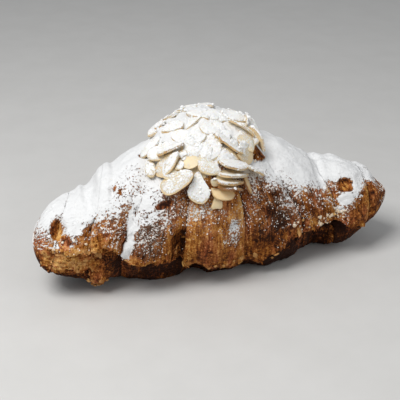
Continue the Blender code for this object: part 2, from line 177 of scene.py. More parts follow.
@dataclass(frozen=True)
class Roll:
    """The form of the rolled dough, the same as the solid's, with crisper rims."""

    half_length: float = 84 * MM
    crown_height: float = 66 * MM
    crown_depth: float = 76 * MM
    crown_at: float = -4 * MM
    spine_height: float = 0.46
    spine_back: float = 2.2 * MM
    bow: float = -8 * MM
    base_sink: float = 9.5 * MM
    sink_rise: Range = (0.2, 0.9)
    relief_at_tips: float = 1.6
    inward_limit: float = -30 * MM
    outward_limit: float = 87 * MM
    rim_depth: float = 3.2 * MM
    groove_width: float = 0.42
    groove_power: float = 1.3
    valley_power: float = 1.4
    round_start: float = 0.84
    rounding: float = 0.55
    wander: float = 1.5 * MM
    wander_turn: float = 40
    wander_row: float = 3.0
    fade_under: float = 0.6
    fade_turn: Range = (105, 140)
    under_mound: float = 0.8
    deep_rim: Patch = Patch(-43 * MM, 88, 9 * MM, 36, 0.9)
    ledge: tuple[tuple[float, float, float], ...] = tuple(
        (x * MM, winding, depth * MM)
        for x, winding, depth in (
            (-80, 66, 1.0), (-66, 76, 3.0), (-50, 82, 3.0), (-45, 102, 3.5), (-20, 110, 4.0),
            (-14, 122, 2.2), (14, 122, 2.2), (36, 104, 2.2), (45, 95, 3.6), (50, 87, 4.8),
            (57, 85, 4.8), (62, 94, 3.4), (68, 103, 1.8), (78, 104, 1.0),
        )
    )
    back_ledge_angle: float = 248
    back_ledge_depth: float = 2.2 * MM
    ledge_turn: float = 5
    ledge_reach: Range = (22, 60)
    ledge_ragged: float = 7
    ledge_wave: float = 7 * MM
    front_ledge_row: float = 2.0
    back_ledge_row: float = 5.0
    hollows: tuple[Patch, ...] = patches(
        (-21, 101, 4.8, 22, 3.4),
        (-13, 140, 6.5, 36, 4.0),
        (-72.5, 46, 4.2, 24, 3.4),
        (-48.5, 32, 1.8, 7, 1.4),
        (-58.5, -6, 4.6, 60, 2.8),
        (-51.5, -4, 5, 50, -2.4),
        (-70, 138, 9, 34, 2.4),
        (-57, 140, 6, 30, -2.6),
        (60.5, 45, 4.5, 11, 1.4, 5),
        (52.5, 97, 7.5, 14, 3.4),
        (49, 134, 8, 40, 5.0),
        (29, 132, 17, 34, -3.6),
        (79.5, 0, 6, 70, 2.6),
        (47.5, 6, 3.8, 52, 1.8),
        unit=MM,
    )
    lump_length: float = 22 * MM
    lump_turn: float = 1.6
    lump_height: float = 1.3 * MM
    pimples: float = 3.1
    pimple_height: float = 0.5 * MM
    mound_height: float = 3.8 * MM
    mound_left: float = -30 * MM
    mound_right: float = 20 * MM
    mound_front: float = 62
    mound_back: float = -60
    mound_edge: Range = (0.74, 1.08)
    mound_ragged: float = 0.2
    mound_wave: float = 9 * MM
    mound_wave_turn: float = 18

    def horn(self, x: float) -> Horn:
        """The half of the roll that x lies in."""
        return LEFT_HORN if x < 0 else RIGHT_HORN

    def dome(self, x: float) -> float:
        """How far the section has closed at x: 1 along the roll, falling to 0 at the tips."""
        horn = self.horn(x)
        onset, closing = horn.rounding_powers
        start = horn.rounding_start
        past = max(0.0, (abs(x) / self.half_length - start) / (1 - start))
        return max(0.0, 1 - past ** onset) ** closing

    def taper(self, x: float) -> float:
        """1 at the crown and 0 towards the horns, nearly straight between."""
        horn = self.horn(x - self.crown_at)
        share = min(1.0, abs(x - self.crown_at) / (horn.taper_length * self.half_length))
        return 1 - share ** horn.taper_power

    def section(self, x: float) -> tuple[Vector, float, float, float]:
        """The centre of the section at x, its half depth, and its upper and lower radius."""
        horn = self.horn(x)
        share = x / self.half_length
        fullness = self.taper(x)
        height = mix(horn.height, self.crown_height, fullness)
        half_depth = mix(horn.depth, self.crown_depth, fullness) / 2
        lift = horn.lift * (1 - fullness) + horn.tip_rise * (1 - self.dome(x))
        middle = lift + self.spine_height * height
        back = self.spine_back + horn.sway * share + self.bow * share * share
        upper = height + lift - middle
        lower = middle - lift + self.base_sink * smooth_step(*self.sink_rise, fullness)
        return Vector((x, back, middle)), half_depth, upper, lower

    def edge_at(self, horn: Horn, wrap: int, winding: float) -> float:
        """How far out the dough's edge lies at this winding angle, after this many whole turns."""
        first = 2 * wrap if winding < 90 else 2 * wrap + 1
        share = winding / 90 if winding < 90 else (winding - 90) / 270
        if first < 0:
            return self.inward_limit
        if first + 1 >= len(horn.crossings):
            return self.outward_limit
        return mix(horn.crossings[first], horn.crossings[first + 1], share)

    def wandering(self, horn: Horn, winding: float) -> float:
        """How far inward the rims waver at this winding angle."""
        return self.wander * noise_at(horn.sign * self.wander_row, winding / self.wander_turn)

    def across_band(self, x: float, winding: float) -> tuple[int, float, float]:
        """Where a place lies on its band of dough.

        Args:
            x: The place along the spine.
            winding: The winding angle, from 0 to 360.

        Returns:
            The band's number from the middle, the share of the way across it, which is 1 at its own
            rim, and its width.
        """
        horn = self.horn(x)
        out = abs(x) + self.wandering(horn, winding)
        wrap = -1
        while out >= self.edge_at(horn, wrap + 1, winding):
            wrap += 1
        inner = self.edge_at(horn, wrap, winding)
        width = self.edge_at(horn, wrap + 1, winding) - inner
        return wrap, (out - inner) / width, width

    def rim_relief(
        self, x: float, winding: float, across: float, softness: float = 0, valley_share: float = 0
    ) -> float:
        """How far the surface lies below the roll's outline because of the rims.

        Args:
            x: The place along the spine.
            winding: The winding angle.
            across: The share of the way across the band.
            softness: How far sugar turns the sharp grooves into soft valleys.
            valley_share: The valleys' depth as a share of the grooves'.

        Returns:
            The depth in metres.
        """
        groove = (1 - smooth_step(0, self.groove_width, across)) ** self.groove_power
        rounded = self.rounding * smooth_step(self.round_start, 1, across) ** 2
        depth = self.rim_depth * mix(self.horn(x).rim_share, 1.0, self.taper(x))
        depth *= 1 - self.fade_under * smooth_step(*self.fade_turn, 180 - abs(winding - 180))
        depth *= 1 - self.under_mound * self.mound(x, winding)
        depth *= 1 + self.deep_rim.amount * self.deep_rim.share(x, winding)
        if softness > 0:
            valley = (0.5 + 0.5 * math.cos(math.tau * min(1.0, across))) ** self.valley_power
            return depth * mix(groove + rounded, valley_share * valley, softness)
        return depth * (groove + rounded)

    def front_ledge(self, x: float) -> tuple[float, float]:
        """The winding angle of the front ledge's edge at x, and how far it stands out."""
        before = self.ledge[0]
        for after in self.ledge[1:]:
            if x < after[0]:
                break
            before = after
        share = min(1.0, max(0.0, (x - before[0]) / max(after[0] - before[0], MM)))
        return mix(before[1], after[1], share), mix(before[2], after[2], share)

    def past_ledge(self, x: float, winding: float) -> tuple[float, float]:
        """How many degrees a place lies below the ledge's edge, and how far that stands out."""
        if winding > 180:
            past = self.back_ledge_angle - winding
            depth = self.back_ledge_depth * self.dome(x)
            row = self.back_ledge_row
        else:
            edge, depth = self.front_ledge(x)
            past = winding - edge
            row = self.front_ledge_row
        return past + self.ledge_ragged * noise_at(x / self.ledge_wave, row), depth

    def ledge_relief(self, x: float, winding: float) -> float:
        """How far the surface lies back under the ledge of the upper half."""
        past, depth = self.past_ledge(x, winding)
        fading = 1 - smooth_step(*self.ledge_reach, past)
        return depth * smooth_step(0, self.ledge_turn, past) * fading

    def hollow_depth(self, x: float, winding: float) -> float:
        """The depth of the crust's splits and notches at a place."""
        return felt(self.hollows, x, winding)

    def lumps(self, x: float, winding: float) -> float:
        """The slow unevenness of baked dough."""
        turn = math.radians(winding)
        across, up = self.lump_turn * math.sin(turn), self.lump_turn * math.cos(turn)
        place = Vector((x / self.lump_length, across, up))
        pimples = self.pimple_height * noise.noise(place * self.pimples)
        return self.lump_height * noise.noise(place) + pimples

    def mound(self, x: float, winding: float) -> float:
        """The share of the almond mound's full height at a place on the roll."""
        around = turn_apart(winding, 0)
        wave = self.mound_ragged * noise_at(x / self.mound_wave, around / self.mound_wave_turn)
        along = from_middle(x, self.mound_left, self.mound_right)
        over = from_middle(around, self.mound_back, self.mound_front)
        return 1 - smooth_step(*self.mound_edge, math.hypot(along, over) + wave)

    def on_roll(self, x: float, winding: float, raised: float) -> Vector:
        """The point at this place on the roll's outline, moved outwards by raised."""
        centre, half_depth, upper, lower = self.section(x)
        turn = math.radians(winding)
        outward = Vector((0, -math.sin(turn), math.cos(turn)))
        closed = self.dome(x)
        height = upper if outward.z > 0 else lower
        point = centre + Vector((0, outward.y * half_depth, outward.z * height)) * closed
        point += outward * raised * min(1.0, closed * self.relief_at_tips)
        return point

    def mound_top(self, x: float, winding: float) -> Vector:
        """The point on the mound at this place, without the crust's rims."""
        return self.on_roll(x, winding, self.mound_height * self.mound(x, winding))


@dataclass(frozen=True)
class CrustSurface:
    """The crust's fine surface: overhanging rims, leaves, blisters and the sugar's soft lumps."""

    roll: Roll = field(default_factory=Roll)
    lip: float = 1.3 * MM
    lip_start: float = 0.8
    leaf_steps: tuple[float, ...] = millimetres(1.1, 2.3, 3.8)
    leaf_height: float = 0.24 * MM
    leaf_ragged: float = 0.9 * MM
    leaf_wave: float = 12 * MM
    leaf_turn: float = 9
    leaf_row: float = 5.0
    leaf_edge: float = 0.2 * MM
    streak_width: float = 1.7 * MM
    streak_turn: float = 45
    streak_height: float = 0.22 * MM
    streak_row: float = 3.0
    blister_size: float = 3.0 * MM
    blister_height: float = 1.15 * MM
    blister_top: float = 0.45
    blister_slope: float = 1.6
    pit_size: float = 1.6 * MM
    pit_height: float = 0.42 * MM
    crag_size: float = 9 * MM
    crag_height: float = 1.0 * MM
    mean_radius: float = 32 * MM
    least_rough: float = 0.34
    least_crumbly: float = 0.15
    sugar_fill: float = 1.3 * MM
    low_fill: float = 0.25
    fill_turn: Range = (52, 22)
    drift_size: float = 4.5 * MM
    drift_height: float = 0.55 * MM
    clump_size: float = 1.7 * MM
    clump_height: float = 0.28 * MM
    groove_fill: float = 0.93
    valley_shares: Range = (0.3, 0.75)
    hidden_by_sugar: float = 0.93
    hidden_by_mound: float = 0.85
    lip_ends: Range = millimetres(82, 74)
    overhang: float = 0.35
    overhang_start: Range = (-14, -1)
    overhang_end: Range = (0, 3)
    blisters: tuple[Patch, ...] = patches(
        (-68, 104, 18, 48, 1.0),
        (-50, 80, 14, 16, 0.5),
        (-8, 125, 20, 22, 0.6),
        (42, 112, 14, 22, 0.8),
        (18, 34, 8, 12, 0.7),
    )
    crumbs: tuple[Patch, ...] = patches(
        (-68, 100, 20, 46, 1.0),
        (-50, 76, 10, 14, 0.4),
        (-40, 112, 9, 14, 0.5),
        (-8, 124, 18, 14, 0.6),
        (42, 104, 12, 20, 0.8),
        (60.5, 45, 5, 12, 0.8),
        (-72, 52, 5, 20, 0.7),
    )

    def rough(self, x: float, winding: float) -> float:
        """How blistered the crust is at a place, from 0 to 1."""
        return min(1.0, self.least_rough + felt(self.blisters, x, winding, 0.2))

    def crumbly(self, x: float, winding: float) -> float:
        """How far open crumb takes the place of streaked crust at a place, from 0 to 1."""
        return min(1.0, self.least_crumbly + felt(self.crumbs, x, winding, 0.3))

    def fine_relief(
        self, x: float, winding: float, wrap: int, across: float, width: float
    ) -> float:
        """The height of leaves, streaks and blisters over the roll's own form at a place.

        Args:
            x: The place along the spine.
            winding: The winding angle.
            wrap: The number of the dough's band there.
            across: The share of the way across the band.
            width: The band's width.

        Returns:
            The height in metres, which may be below zero.
        """
        to_rim = (1 - across) * width
        ragged = noise_at(winding / self.leaf_turn, wrap * self.leaf_row, x / self.leaf_wave)
        to_rim += self.leaf_ragged * ragged
        edge = self.leaf_edge
        leaves = sum(1 - smooth_step(step - edge, step + edge, to_rim) for step in self.leaf_steps)
        across_streaks = across * width / self.streak_width
        streak = noise_at(across_streaks, winding / self.streak_turn, wrap * self.streak_row)
        place = self.unrolled(x, winding)
        rough = self.rough(x, winding)
        strength = 0.4 + 0.6 * rough
        ridge = abs(noise.noise(place / self.blister_size))
        blister = self.blister_top - self.blister_slope * ridge
        pit = noise.noise(place / self.pit_size)
        crag = noise.noise(place / self.crag_size + Vector((0, 0, 8)))
        raised = -self.leaf_height * leaves + self.streak_height * streak
        raised += self.crag_height * strength * crag
        return raised + rough * self.blister_height * blister + strength * self.pit_height * pit

    def unrolled(self, x: float, winding: float) -> Vector:
        """A place for noise that runs on over the crown and keeps true distances."""
        turn = math.radians(winding)
        return Vector((x, self.mean_radius * math.sin(turn), self.mean_radius * math.cos(turn)))

    def sugar_relief(self, x: float, winding: float) -> float:
        """The soft unevenness of a full cover of sugar at a place."""
        place = self.unrolled(x, winding)
        drift = noise.noise(place / self.drift_size + Vector((3, 0, 0)))
        return self.drift_height * drift + self.clump_height * noise.noise(place / self.clump_size)

    def point(self, x: float, winding: float, cover: float) -> Vector:
        """The point of the crust's surface at a place.

        Args:
            x: The place along the spine.
            winding: The winding angle, from 0 to 360.
            cover: How thickly sugar lies there, from 0 to 1, which hides the fine relief.

        Returns:
            The point in the frame.
        """
        roll = self.roll
        wrap, across, width = roll.across_band(x, winding)
        mound = roll.mound(x, winding)
        high = mix(self.low_fill, 1.0, smooth_step(*self.fill_turn, abs(turn_apart(winding, 0))))
        mound_height = roll.mound_height + self.sugar_fill * high * cover
        raised = roll.lumps(x, winding) + mound_height * mound
        filled = self.groove_fill * cover
        valley = self.valley_shares[0 if x < 0 else 1]
        rims = roll.rim_relief(x, winding, across, filled, valley)
        raised -= rims + roll.ledge_relief(x, winding)
        raised -= roll.hollow_depth(x, winding)
        shown = (1 - self.hidden_by_sugar * cover) * (1 - self.hidden_by_mound * mound)
        raised += self.fine_relief(x, winding, wrap, across, width) * shown
        raised += cover * (1 + mound) * self.sugar_relief(x, winding)
        closed = min(1.0, roll.dome(x) * roll.relief_at_tips)
        over = smooth_step(self.lip_start, 1, across) * (1 - mound) * closed * (1 - filled)
        over *= 1 - smooth_step(*roll.fade_turn, 180 - abs(winding - 180))
        point = roll.on_roll(x, winding, raised)
        point.x += roll.horn(x).sign * self.lip * over * smooth_step(*self.lip_ends, abs(x))
        past, depth = roll.past_ledge(x, winding)
        hang = smooth_step(*self.overhang_start, past) * (1 - smooth_step(*self.overhang_end, past))
        point.z -= self.overhang * depth * hang * closed
        point.z = max(0.0, point.z)
        return point

    def normal(self, x: float, winding: float) -> Vector:
        """The direction straight out of the bare crust at a place."""
        along = self.point(x + MM, winding, 0) - self.point(x - MM, winding, 0)
        around = self.point(x, (winding + 2) % 360, 0) - self.point(x, (winding - 2) % 360, 0)
        return around.cross(along).normalized()


class Slice(NamedTuple):
    """Where one almond slice lies: its place on the roll, its turn about three axes, its size."""

    x: float
    winding: float
    heading: float
    pitch: float
    roll: float
    lift: float
    length: float
    width: float


class SliceKind(Enum):
    """How whole an almond slice is."""

    WHOLE = "whole"
    BROKEN = "broken"
    WAISTED = "waisted"
    CHIP = "chip"


PLACED_SLICES = {
    name: Slice(x * MM, winding, heading, pitch, roll, lift * MM, length * MM, width * MM)
    for name, x, winding, heading, pitch, roll, lift, length, width in (
        ("broad_front_left", -20.8, 48.5, 6, 4, -18, 2.6, 17, 8.8),
        ("upright_front", -12, 56.4, 76, -6, 0, 3.0, 14, 10),
        ("broken_front", -4.8, 68.5, 85, 0, 0, 1.2, 7.5, 6.5),
        ("shelf_upper", 1.5, 50.5, 6, 0, -66, 3.4, 17, 9),
        ("shelf_middle", 0, 55, 2, 0, -72, 3.2, 15, 8.5),
        ("shelf_lower", 0.5, 59, -4, 0, -76, 3.0, 13.5, 8.5),
        ("leaning_front_right", 9.5, 56, -65, 0, -46, 2.0, 11, 7),
        ("shelf_right", 11, 45.5, -12, 0, -58, 2.8, 15, 7.5),
        ("white_front_right", 3, 45, 4, 0, -50, 3.2, 16, 9),
        ("tan_right", 11, 28, -60, 0, 6, 2.0, 10, 8),
        ("white_right", 3, 31.5, -42, 0, -22, 2.4, 14, 9),
        ("top_right", 8.5, 3.5, -9, 4, 6, 2.4, 12.5, 8.5),
        ("upright_right_edge", 13.2, 6, 82, 0, 72, 2.2, 10, 7),
        ("narrow_left", -31, 30, 74, 0, 22, 1.8, 10, 5),
        ("ribbed_left", -23.8, 35, 10, 6, -10, 2.4, 14, 8.5),
        ("bare_middle", -13.8, 40.5, 0, 0, -14, 2.2, 9.5, 6),
        ("cream_middle", -7.2, 47, -36, 0, -8, 2.4, 11, 7),
        ("raised_left_edge", -30, 8, 20, 0, 0, 1.2, 14, 8),
        ("arch_left", -22, 27, -5, 0, -35, 3.0, 13, 8),
        ("pointing_left", -27.5, 24, -60, 0, 0, 2.6, 11, 7),
        ("diagonal_upper", 10, 16, -35, 0, -40, 2.6, 14, 7),
        ("diagonal_right", 16.5, 20, -50, 0, -50, 2.2, 13, 6),
        # shelf_under is bare and toasted darker, standing partly as painted shade under the front
        # stack
        ("shelf_under", -2, 62, -8, 0, -50, 1.8, 12, 8),
    )
}
SLICE_KINDS = {"broken_front": SliceKind.CHIP, "upright_front": SliceKind.WAISTED}
BARE_SLICES = {
    "broken_front": 0.9, "bare_middle": 0.85, "cream_middle": 0.3, "tan_right": 0.5,
    "broad_front_left": 0.32, "leaning_front_right": 0.5, "narrow_left": 0.15, "shelf_under": 1.0,
}
# Extra toast of named slices; for shelf_under it is partly painted shade.
TOAST_AND_SHADE_SLICES = {
    "shelf_upper": 0.22, "shelf_middle": 0.3, "shelf_lower": 0.34, "shelf_under": 0.2,
    "leaning_front_right": 0.3, "white_front_right": 0.2, "shelf_right": 0.22, "broken_front": 0.12,
}
DUSTED_SLICES = {
    "upright_front": 1.2, "shelf_upper": 0.45, "shelf_middle": 0.4, "white_front_right": 0.6,
    "broad_front_left": 0.25,
}


@dataclass
class Surfaces:
    """What shelters the pastry from falling sugar, tested with rays towards the sky."""

    things: list[bpy.types.Object]
    fall: Point = (-0.12, -0.08, 0.99)
    spread: float = 24
    turns: tuple[float, ...] = (0.4, 1.66, 2.9, 4.17, 5.43)
    clearance: float = 0.35 * MM
    reach: float = 50 * MM

    def __post_init__(self) -> None:
        """Gathers the faces of the objects into one tree, and the rays."""
        points: list[Point] = []
        faces: list[tuple[int, ...]] = []
        for thing in self.things:
            start = len(points)
            points.extend(tuple(vertex.co) for vertex in thing.data.vertices)
            for face in thing.data.polygons:
                faces.append(tuple(start + number for number in face.vertices))
        self.tree = BVHTree.FromPolygons(points, faces)
        self.rays = [Vector(self.fall).normalized()]
        out, up = math.sin(math.radians(self.spread)), math.cos(math.radians(self.spread))
        for turn in self.turns:
            self.rays.append(Vector((out * math.cos(turn), out * math.sin(turn), up)))

    def open_sky(self, point: Vector, normal: Vector) -> float:
        """The share of the rays towards the sky that nothing stops."""
        start = point + normal * self.clearance
        free = sum(self.tree.ray_cast(start, ray, self.reach)[0] is None for ray in self.rays)
        return free / len(self.rays)


@dataclass(frozen=True)
class SugarFall:
    """Where icing sugar lies: on what faces up under an open sky, and in named drifts."""

    bare_below: float = -0.45
    full_above: float = 0.98
    falloff: float = 1.5
    least_sky: float = 0.12
    dusting: float = 0.07
    dusted_from: Range = (-0.4, 0.2)
    on_mound: float = 0.85
    mound_turn: Range = (58, 34)
    grooves_open: Range = (0.4, 0.72)
    groove_ends: Range = millimetres(78, 66)
    drifts: tuple[Patch, ...] = patches(
        (64.5, 50, 1.7, 14, 1.2, 4),
        (67.2, 30, 2.4, 14, 0.6),
        (59.5, 64, 5, 9, 1.3),
        (56, 74, 3.2, 5, 0.8),
        (-65, 53, 3, 9, 0.75),
        (3, 92, 3.4, 14, 0.5),
        (-0.5, 98, 2, 6, 0.3),
        (-44.6, 96, 3.4, 6, 1.3),
        (-43.4, 90, 2.8, 8, 1.2),
        (-42.2, 82, 2.2, 10, 0.9),
        (-41.6, 73, 2.4, 10, 0.8),
        (-41.2, 64, 3.2, 10, 0.7),
        (-37, 54, 6, 9, 0.4),
        (-26, 74, 2.4, 6, 0.35),
        (-34, 82, 9, 30, 0.22),
        (-13, 72, 9, 9, 0.3),
    )
    bare: tuple[Patch, ...] = patches(
        (60, 45, 4.5, 11, 1.7, 3),
        (53, 49, 5, 13, 0.5),
        (-70, 96, 20, 32, 0.5),
        (-57, 132, 9, 24, 0.8),
        (70, 90, 10, 26, 0.45),
        (81, 20, 4.5, 70, 0.6),
        (-73, 42, 3.4, 19, 1.4),
        (-70, 62, 3, 12, 0.8),
        (-80, 55, 5, 30, 0.12),
        (-41, 34, 11, 26, 0.17),
        (-27.5, 61.5, 4.6, 3.2, 1.0),
        (16.5, 30, 4.5, 8, 1.1),
        (-47.4, 30, 0.9, 2.6, 1.4),
        (-45.2, 37, 0.9, 3.4, 1.4),
        (-34, 9, 2.2, 5, 1.2),
        (73, 62, 6.5, 32, 0.9),
        (46, 66, 12, 16, 0.25),
        (-56, 66, 12, 16, 0.4),
        (20, 62, 7, 22, 0.2),
    )

    def amount(self, x: float, winding: float, facing_up: float, sky: float, mound: float) -> float:
        """How much sugar lies at a place on the crust.

        Args:
            x: The place along the spine.
            winding: The winding angle.
            facing_up: How far the surface faces up, 1 for level and 0 for upright.
            sky: The share of the sky it sees.
            mound: How high the almond mound is there, from 0 to 1.

        Returns:
            The share of the place that sugar hides, 0 for none and 1 for a full cover.
        """
        crown = math.cos(math.radians(winding))
        filled = smooth_step(*self.grooves_open, crown) * (1 - mound)
        filled *= smooth_step(*self.groove_ends, abs(x))
        sky = max(sky, filled)
        facing_up = max(facing_up, filled * crown)
        held = smooth_step(self.bare_below, self.full_above, facing_up) ** self.falloff
        held *= mix(self.least_sky, 1.0, sky)
        held += self.dusting * smooth_step(*self.dusted_from, crown)
        held += self.on_mound * mound * smooth_step(*self.mound_turn, abs(turn_apart(winding, 0)))
        held += felt(self.drifts, x, winding)
        held -= felt(self.bare, x, winding, 0.6)
        return min(1.0, max(0.0, held))


@dataclass(frozen=True)
class CrustFinish:
    """Baked laminated crust: golden to dark reddish brown, streaked along the dough, sugared."""

    tones: Stops = (
        (0.0, (0.72, 0.42, 0.14)),
        (0.3, (0.50, 0.215, 0.045)),
        (0.55, (0.30, 0.098, 0.018)),
        (0.78, (0.13, 0.035, 0.008)),
        (1.0, (0.025, 0.008, 0.004)),
    )
    red_tones: Stops = (
        (0.0, (0.70, 0.38, 0.16)),
        (0.3, (0.50, 0.17, 0.066)),
        (0.55, (0.31, 0.08, 0.03)),
        (0.78, (0.12, 0.034, 0.012)),
        (1.0, (0.025, 0.009, 0.006)),
    )
    roughness: float = 0.5
    specular: float = 0.05
    sugar: Colour = (0.79, 0.79, 0.785)
    thin_sugar: Colour = (0.80, 0.66, 0.54)
    sugar_roughness: float = 0.95
    veil: Colour = (0.52, 0.32, 0.21)
    most_veil: float = 0.2
    streak_scale: Point = (14.0, 1.5, 1.0)
    band_scale: Point = (4.0, 0.8, 1.0)
    hue_scale: Point = (1.4, 0.45, 1.0)
    streak_tone: float = 0.3
    crumb_tone: float = 0.34
    band_tone: float = 0.17
    fleck_tone: float = 0.2
    broad_tone: float = 0.14
    pale_specks: float = -0.42
    dark_specks: float = 0.25
    streaks_lost: float = 0.75
    relief: float = 0.5 * MM

    def material(self) -> bpy.types.Material:
        """The crust's material, with icing sugar where the mesh's sugar attribute puts it."""
        made = Material("baked_crust_and_sugar")
        sugar = made.attribute("sugar")
        crumbly = made.attribute("crumbly")
        streaks = made.noise(made.scaled_uv(self.streak_scale), scale=1.0, detail=4, rough=0.65)
        bands = made.noise(made.scaled_uv(self.band_scale), scale=1.0, detail=3, rough=0.6)
        hues = made.noise(made.scaled_uv(self.hue_scale), scale=1.0, detail=3, rough=0.55)
        fleck = made.noise(made.place(), scale=520, detail=5, rough=0.7)
        broad = made.noise(made.place(), scale=140, detail=3, rough=0.6)
        crumb = made.noise(made.place(), scale=260, detail=4, rough=0.6)
        specks = made.noise(made.place(), scale=1400, detail=2, rough=0.6)
        powder = made.noise(made.place(), scale=2600, detail=3, rough=0.7)
        soft = made.noise(made.place(), scale=420, detail=3, rough=0.6)
        streaked = made.total(made.product(crumbly, -self.streaks_lost), 1.0)
        tone = made.total(
            made.attribute("browning_and_painted_light"),
            made.product(made.swing(streaks, self.streak_tone), streaked),
            made.product(made.swing(crumb, self.crumb_tone, 0.17), crumbly),
            made.swing(bands, self.band_tone),
            made.swing(fleck, self.fleck_tone),
            made.swing(broad, self.broad_tone),
            made.ranged(specks, 0.58, 0.68, 0, self.pale_specks),
            made.ranged(specks, 0.32, 0.42, self.dark_specks, 0),
        )
        redness = made.ranged(hues, 0.46, 0.66, 0, 1)
        colour = made.mixed(redness, made.ramp(tone, self.tones), made.ramp(tone, self.red_tones))
        colour = made.mixed(made.ranged(sugar, 0.08, 0.5, 0, self.most_veil), colour, self.veil)
        cover = made.sugar_cover(fineness=1050, bare=0.09, covered=0.23)
        powder_colour = made.ramp(sugar, ((0.15, self.thin_sugar), (0.7, self.sugar)))
        made.connect(made.mixed(cover, colour, powder_colour), "Base Color")
        made.connect(made.ranged(cover, 0, 1, self.roughness, self.sugar_roughness), "Roughness")
        made.set("Specular IOR Level", self.specular)
        showing = made.total(made.product(sugar, -1.1), 1.1)
        bare_height = made.total(
            made.product(made.ranged(streaks, 0.25, 0.75, 0, 1), 0.8, streaked),
            made.product(crumb, crumbly, 2.0),
            made.product(fleck, 0.9),
        )
        powdery = made.total(made.product(powder, 0.45), made.product(soft, 1.3))
        height = made.total(
            made.product(bare_height, made.ranged(showing, 0, 1, 0.08, 1)),
            made.product(powdery, cover),
            made.product(cover, 0.7),
        )
        made.bump(height, self.relief, 1.0)
        return made.material


@dataclass(frozen=True)
class AlmondFinish:
    """Blanched almond slices: cream faces, toasted golden at their edges, sugar on top."""

    tones: Stops = (
        (0.0, (0.80, 0.67, 0.44)),
        (0.45, (0.76, 0.58, 0.33)),
        (0.75, (0.60, 0.37, 0.15)),
        (1.0, (0.30, 0.13, 0.04)),
    )
    roughness: float = 0.55
    sugar: Colour = (0.86, 0.855, 0.835)
    sugar_roughness: float = 0.95
    grain_scale: Point = (2.0, 16.0, 1.0)
    grain_tone: float = 0.1
    spot_tone: float = 0.12
    glow: float = 0.12
    glow_colours: Colour = (1.0, 0.7, 0.4)
    glow_depth: float = 1.2 * MM
    relief: float = 0.2 * MM

    def material(self) -> bpy.types.Material:
        """The almonds' material, with icing sugar where the mesh's sugar attribute puts it."""
        made = Material("sliced_almond_and_sugar")
        grain = made.noise(made.scaled_uv(self.grain_scale), scale=1.0, detail=3, rough=0.6)
        spots = made.noise(made.place(), scale=420, detail=3, rough=0.6)
        powder = made.noise(made.place(), scale=2600, detail=3, rough=0.7)
        tone = made.total(
            made.attribute("toast_and_shade"),
            made.swing(grain, self.grain_tone),
            made.swing(spots, self.spot_tone),
        )
        cover = made.sugar_cover(fineness=1700, bare=0, covered=0.5)
        made.connect(made.mixed(cover, made.ramp(tone, self.tones), self.sugar), "Base Color")
        made.connect(made.ranged(cover, 0, 1, self.roughness, self.sugar_roughness), "Roughness")
        made.set("Subsurface Weight", self.glow)
        made.set("Subsurface Radius", self.glow_colours)
        made.set("Subsurface Scale", self.glow_depth)
        height = made.total(
            made.product(grain, 0.3), made.product(cover, 0.9), made.product(powder, cover, 0.6)
        )
        made.bump(height, self.relief, 0.9)
        return made.material


@dataclass(frozen=True)
class PlainFinish:
    """A fine mottle of two close colours, for sugar grains and clumps, crumbs and the floor."""

    name: str
    colour: Colour
    second: Colour
    mottle_scale: float
    roughness: float
    bump: float = 0.0

    def material(self) -> bpy.types.Material:
        """The finish as a material."""
        made = Material(self.name)
        mottle = made.noise(made.place(), self.mottle_scale, detail=3, rough=0.6)
        made.connect(made.ramp(mottle, ((0.35, self.colour), (0.65, self.second))), "Base Color")
        made.set("Roughness", self.roughness)
        if self.bump:
            made.bump(mottle, self.bump, 0.8)
        return made.material


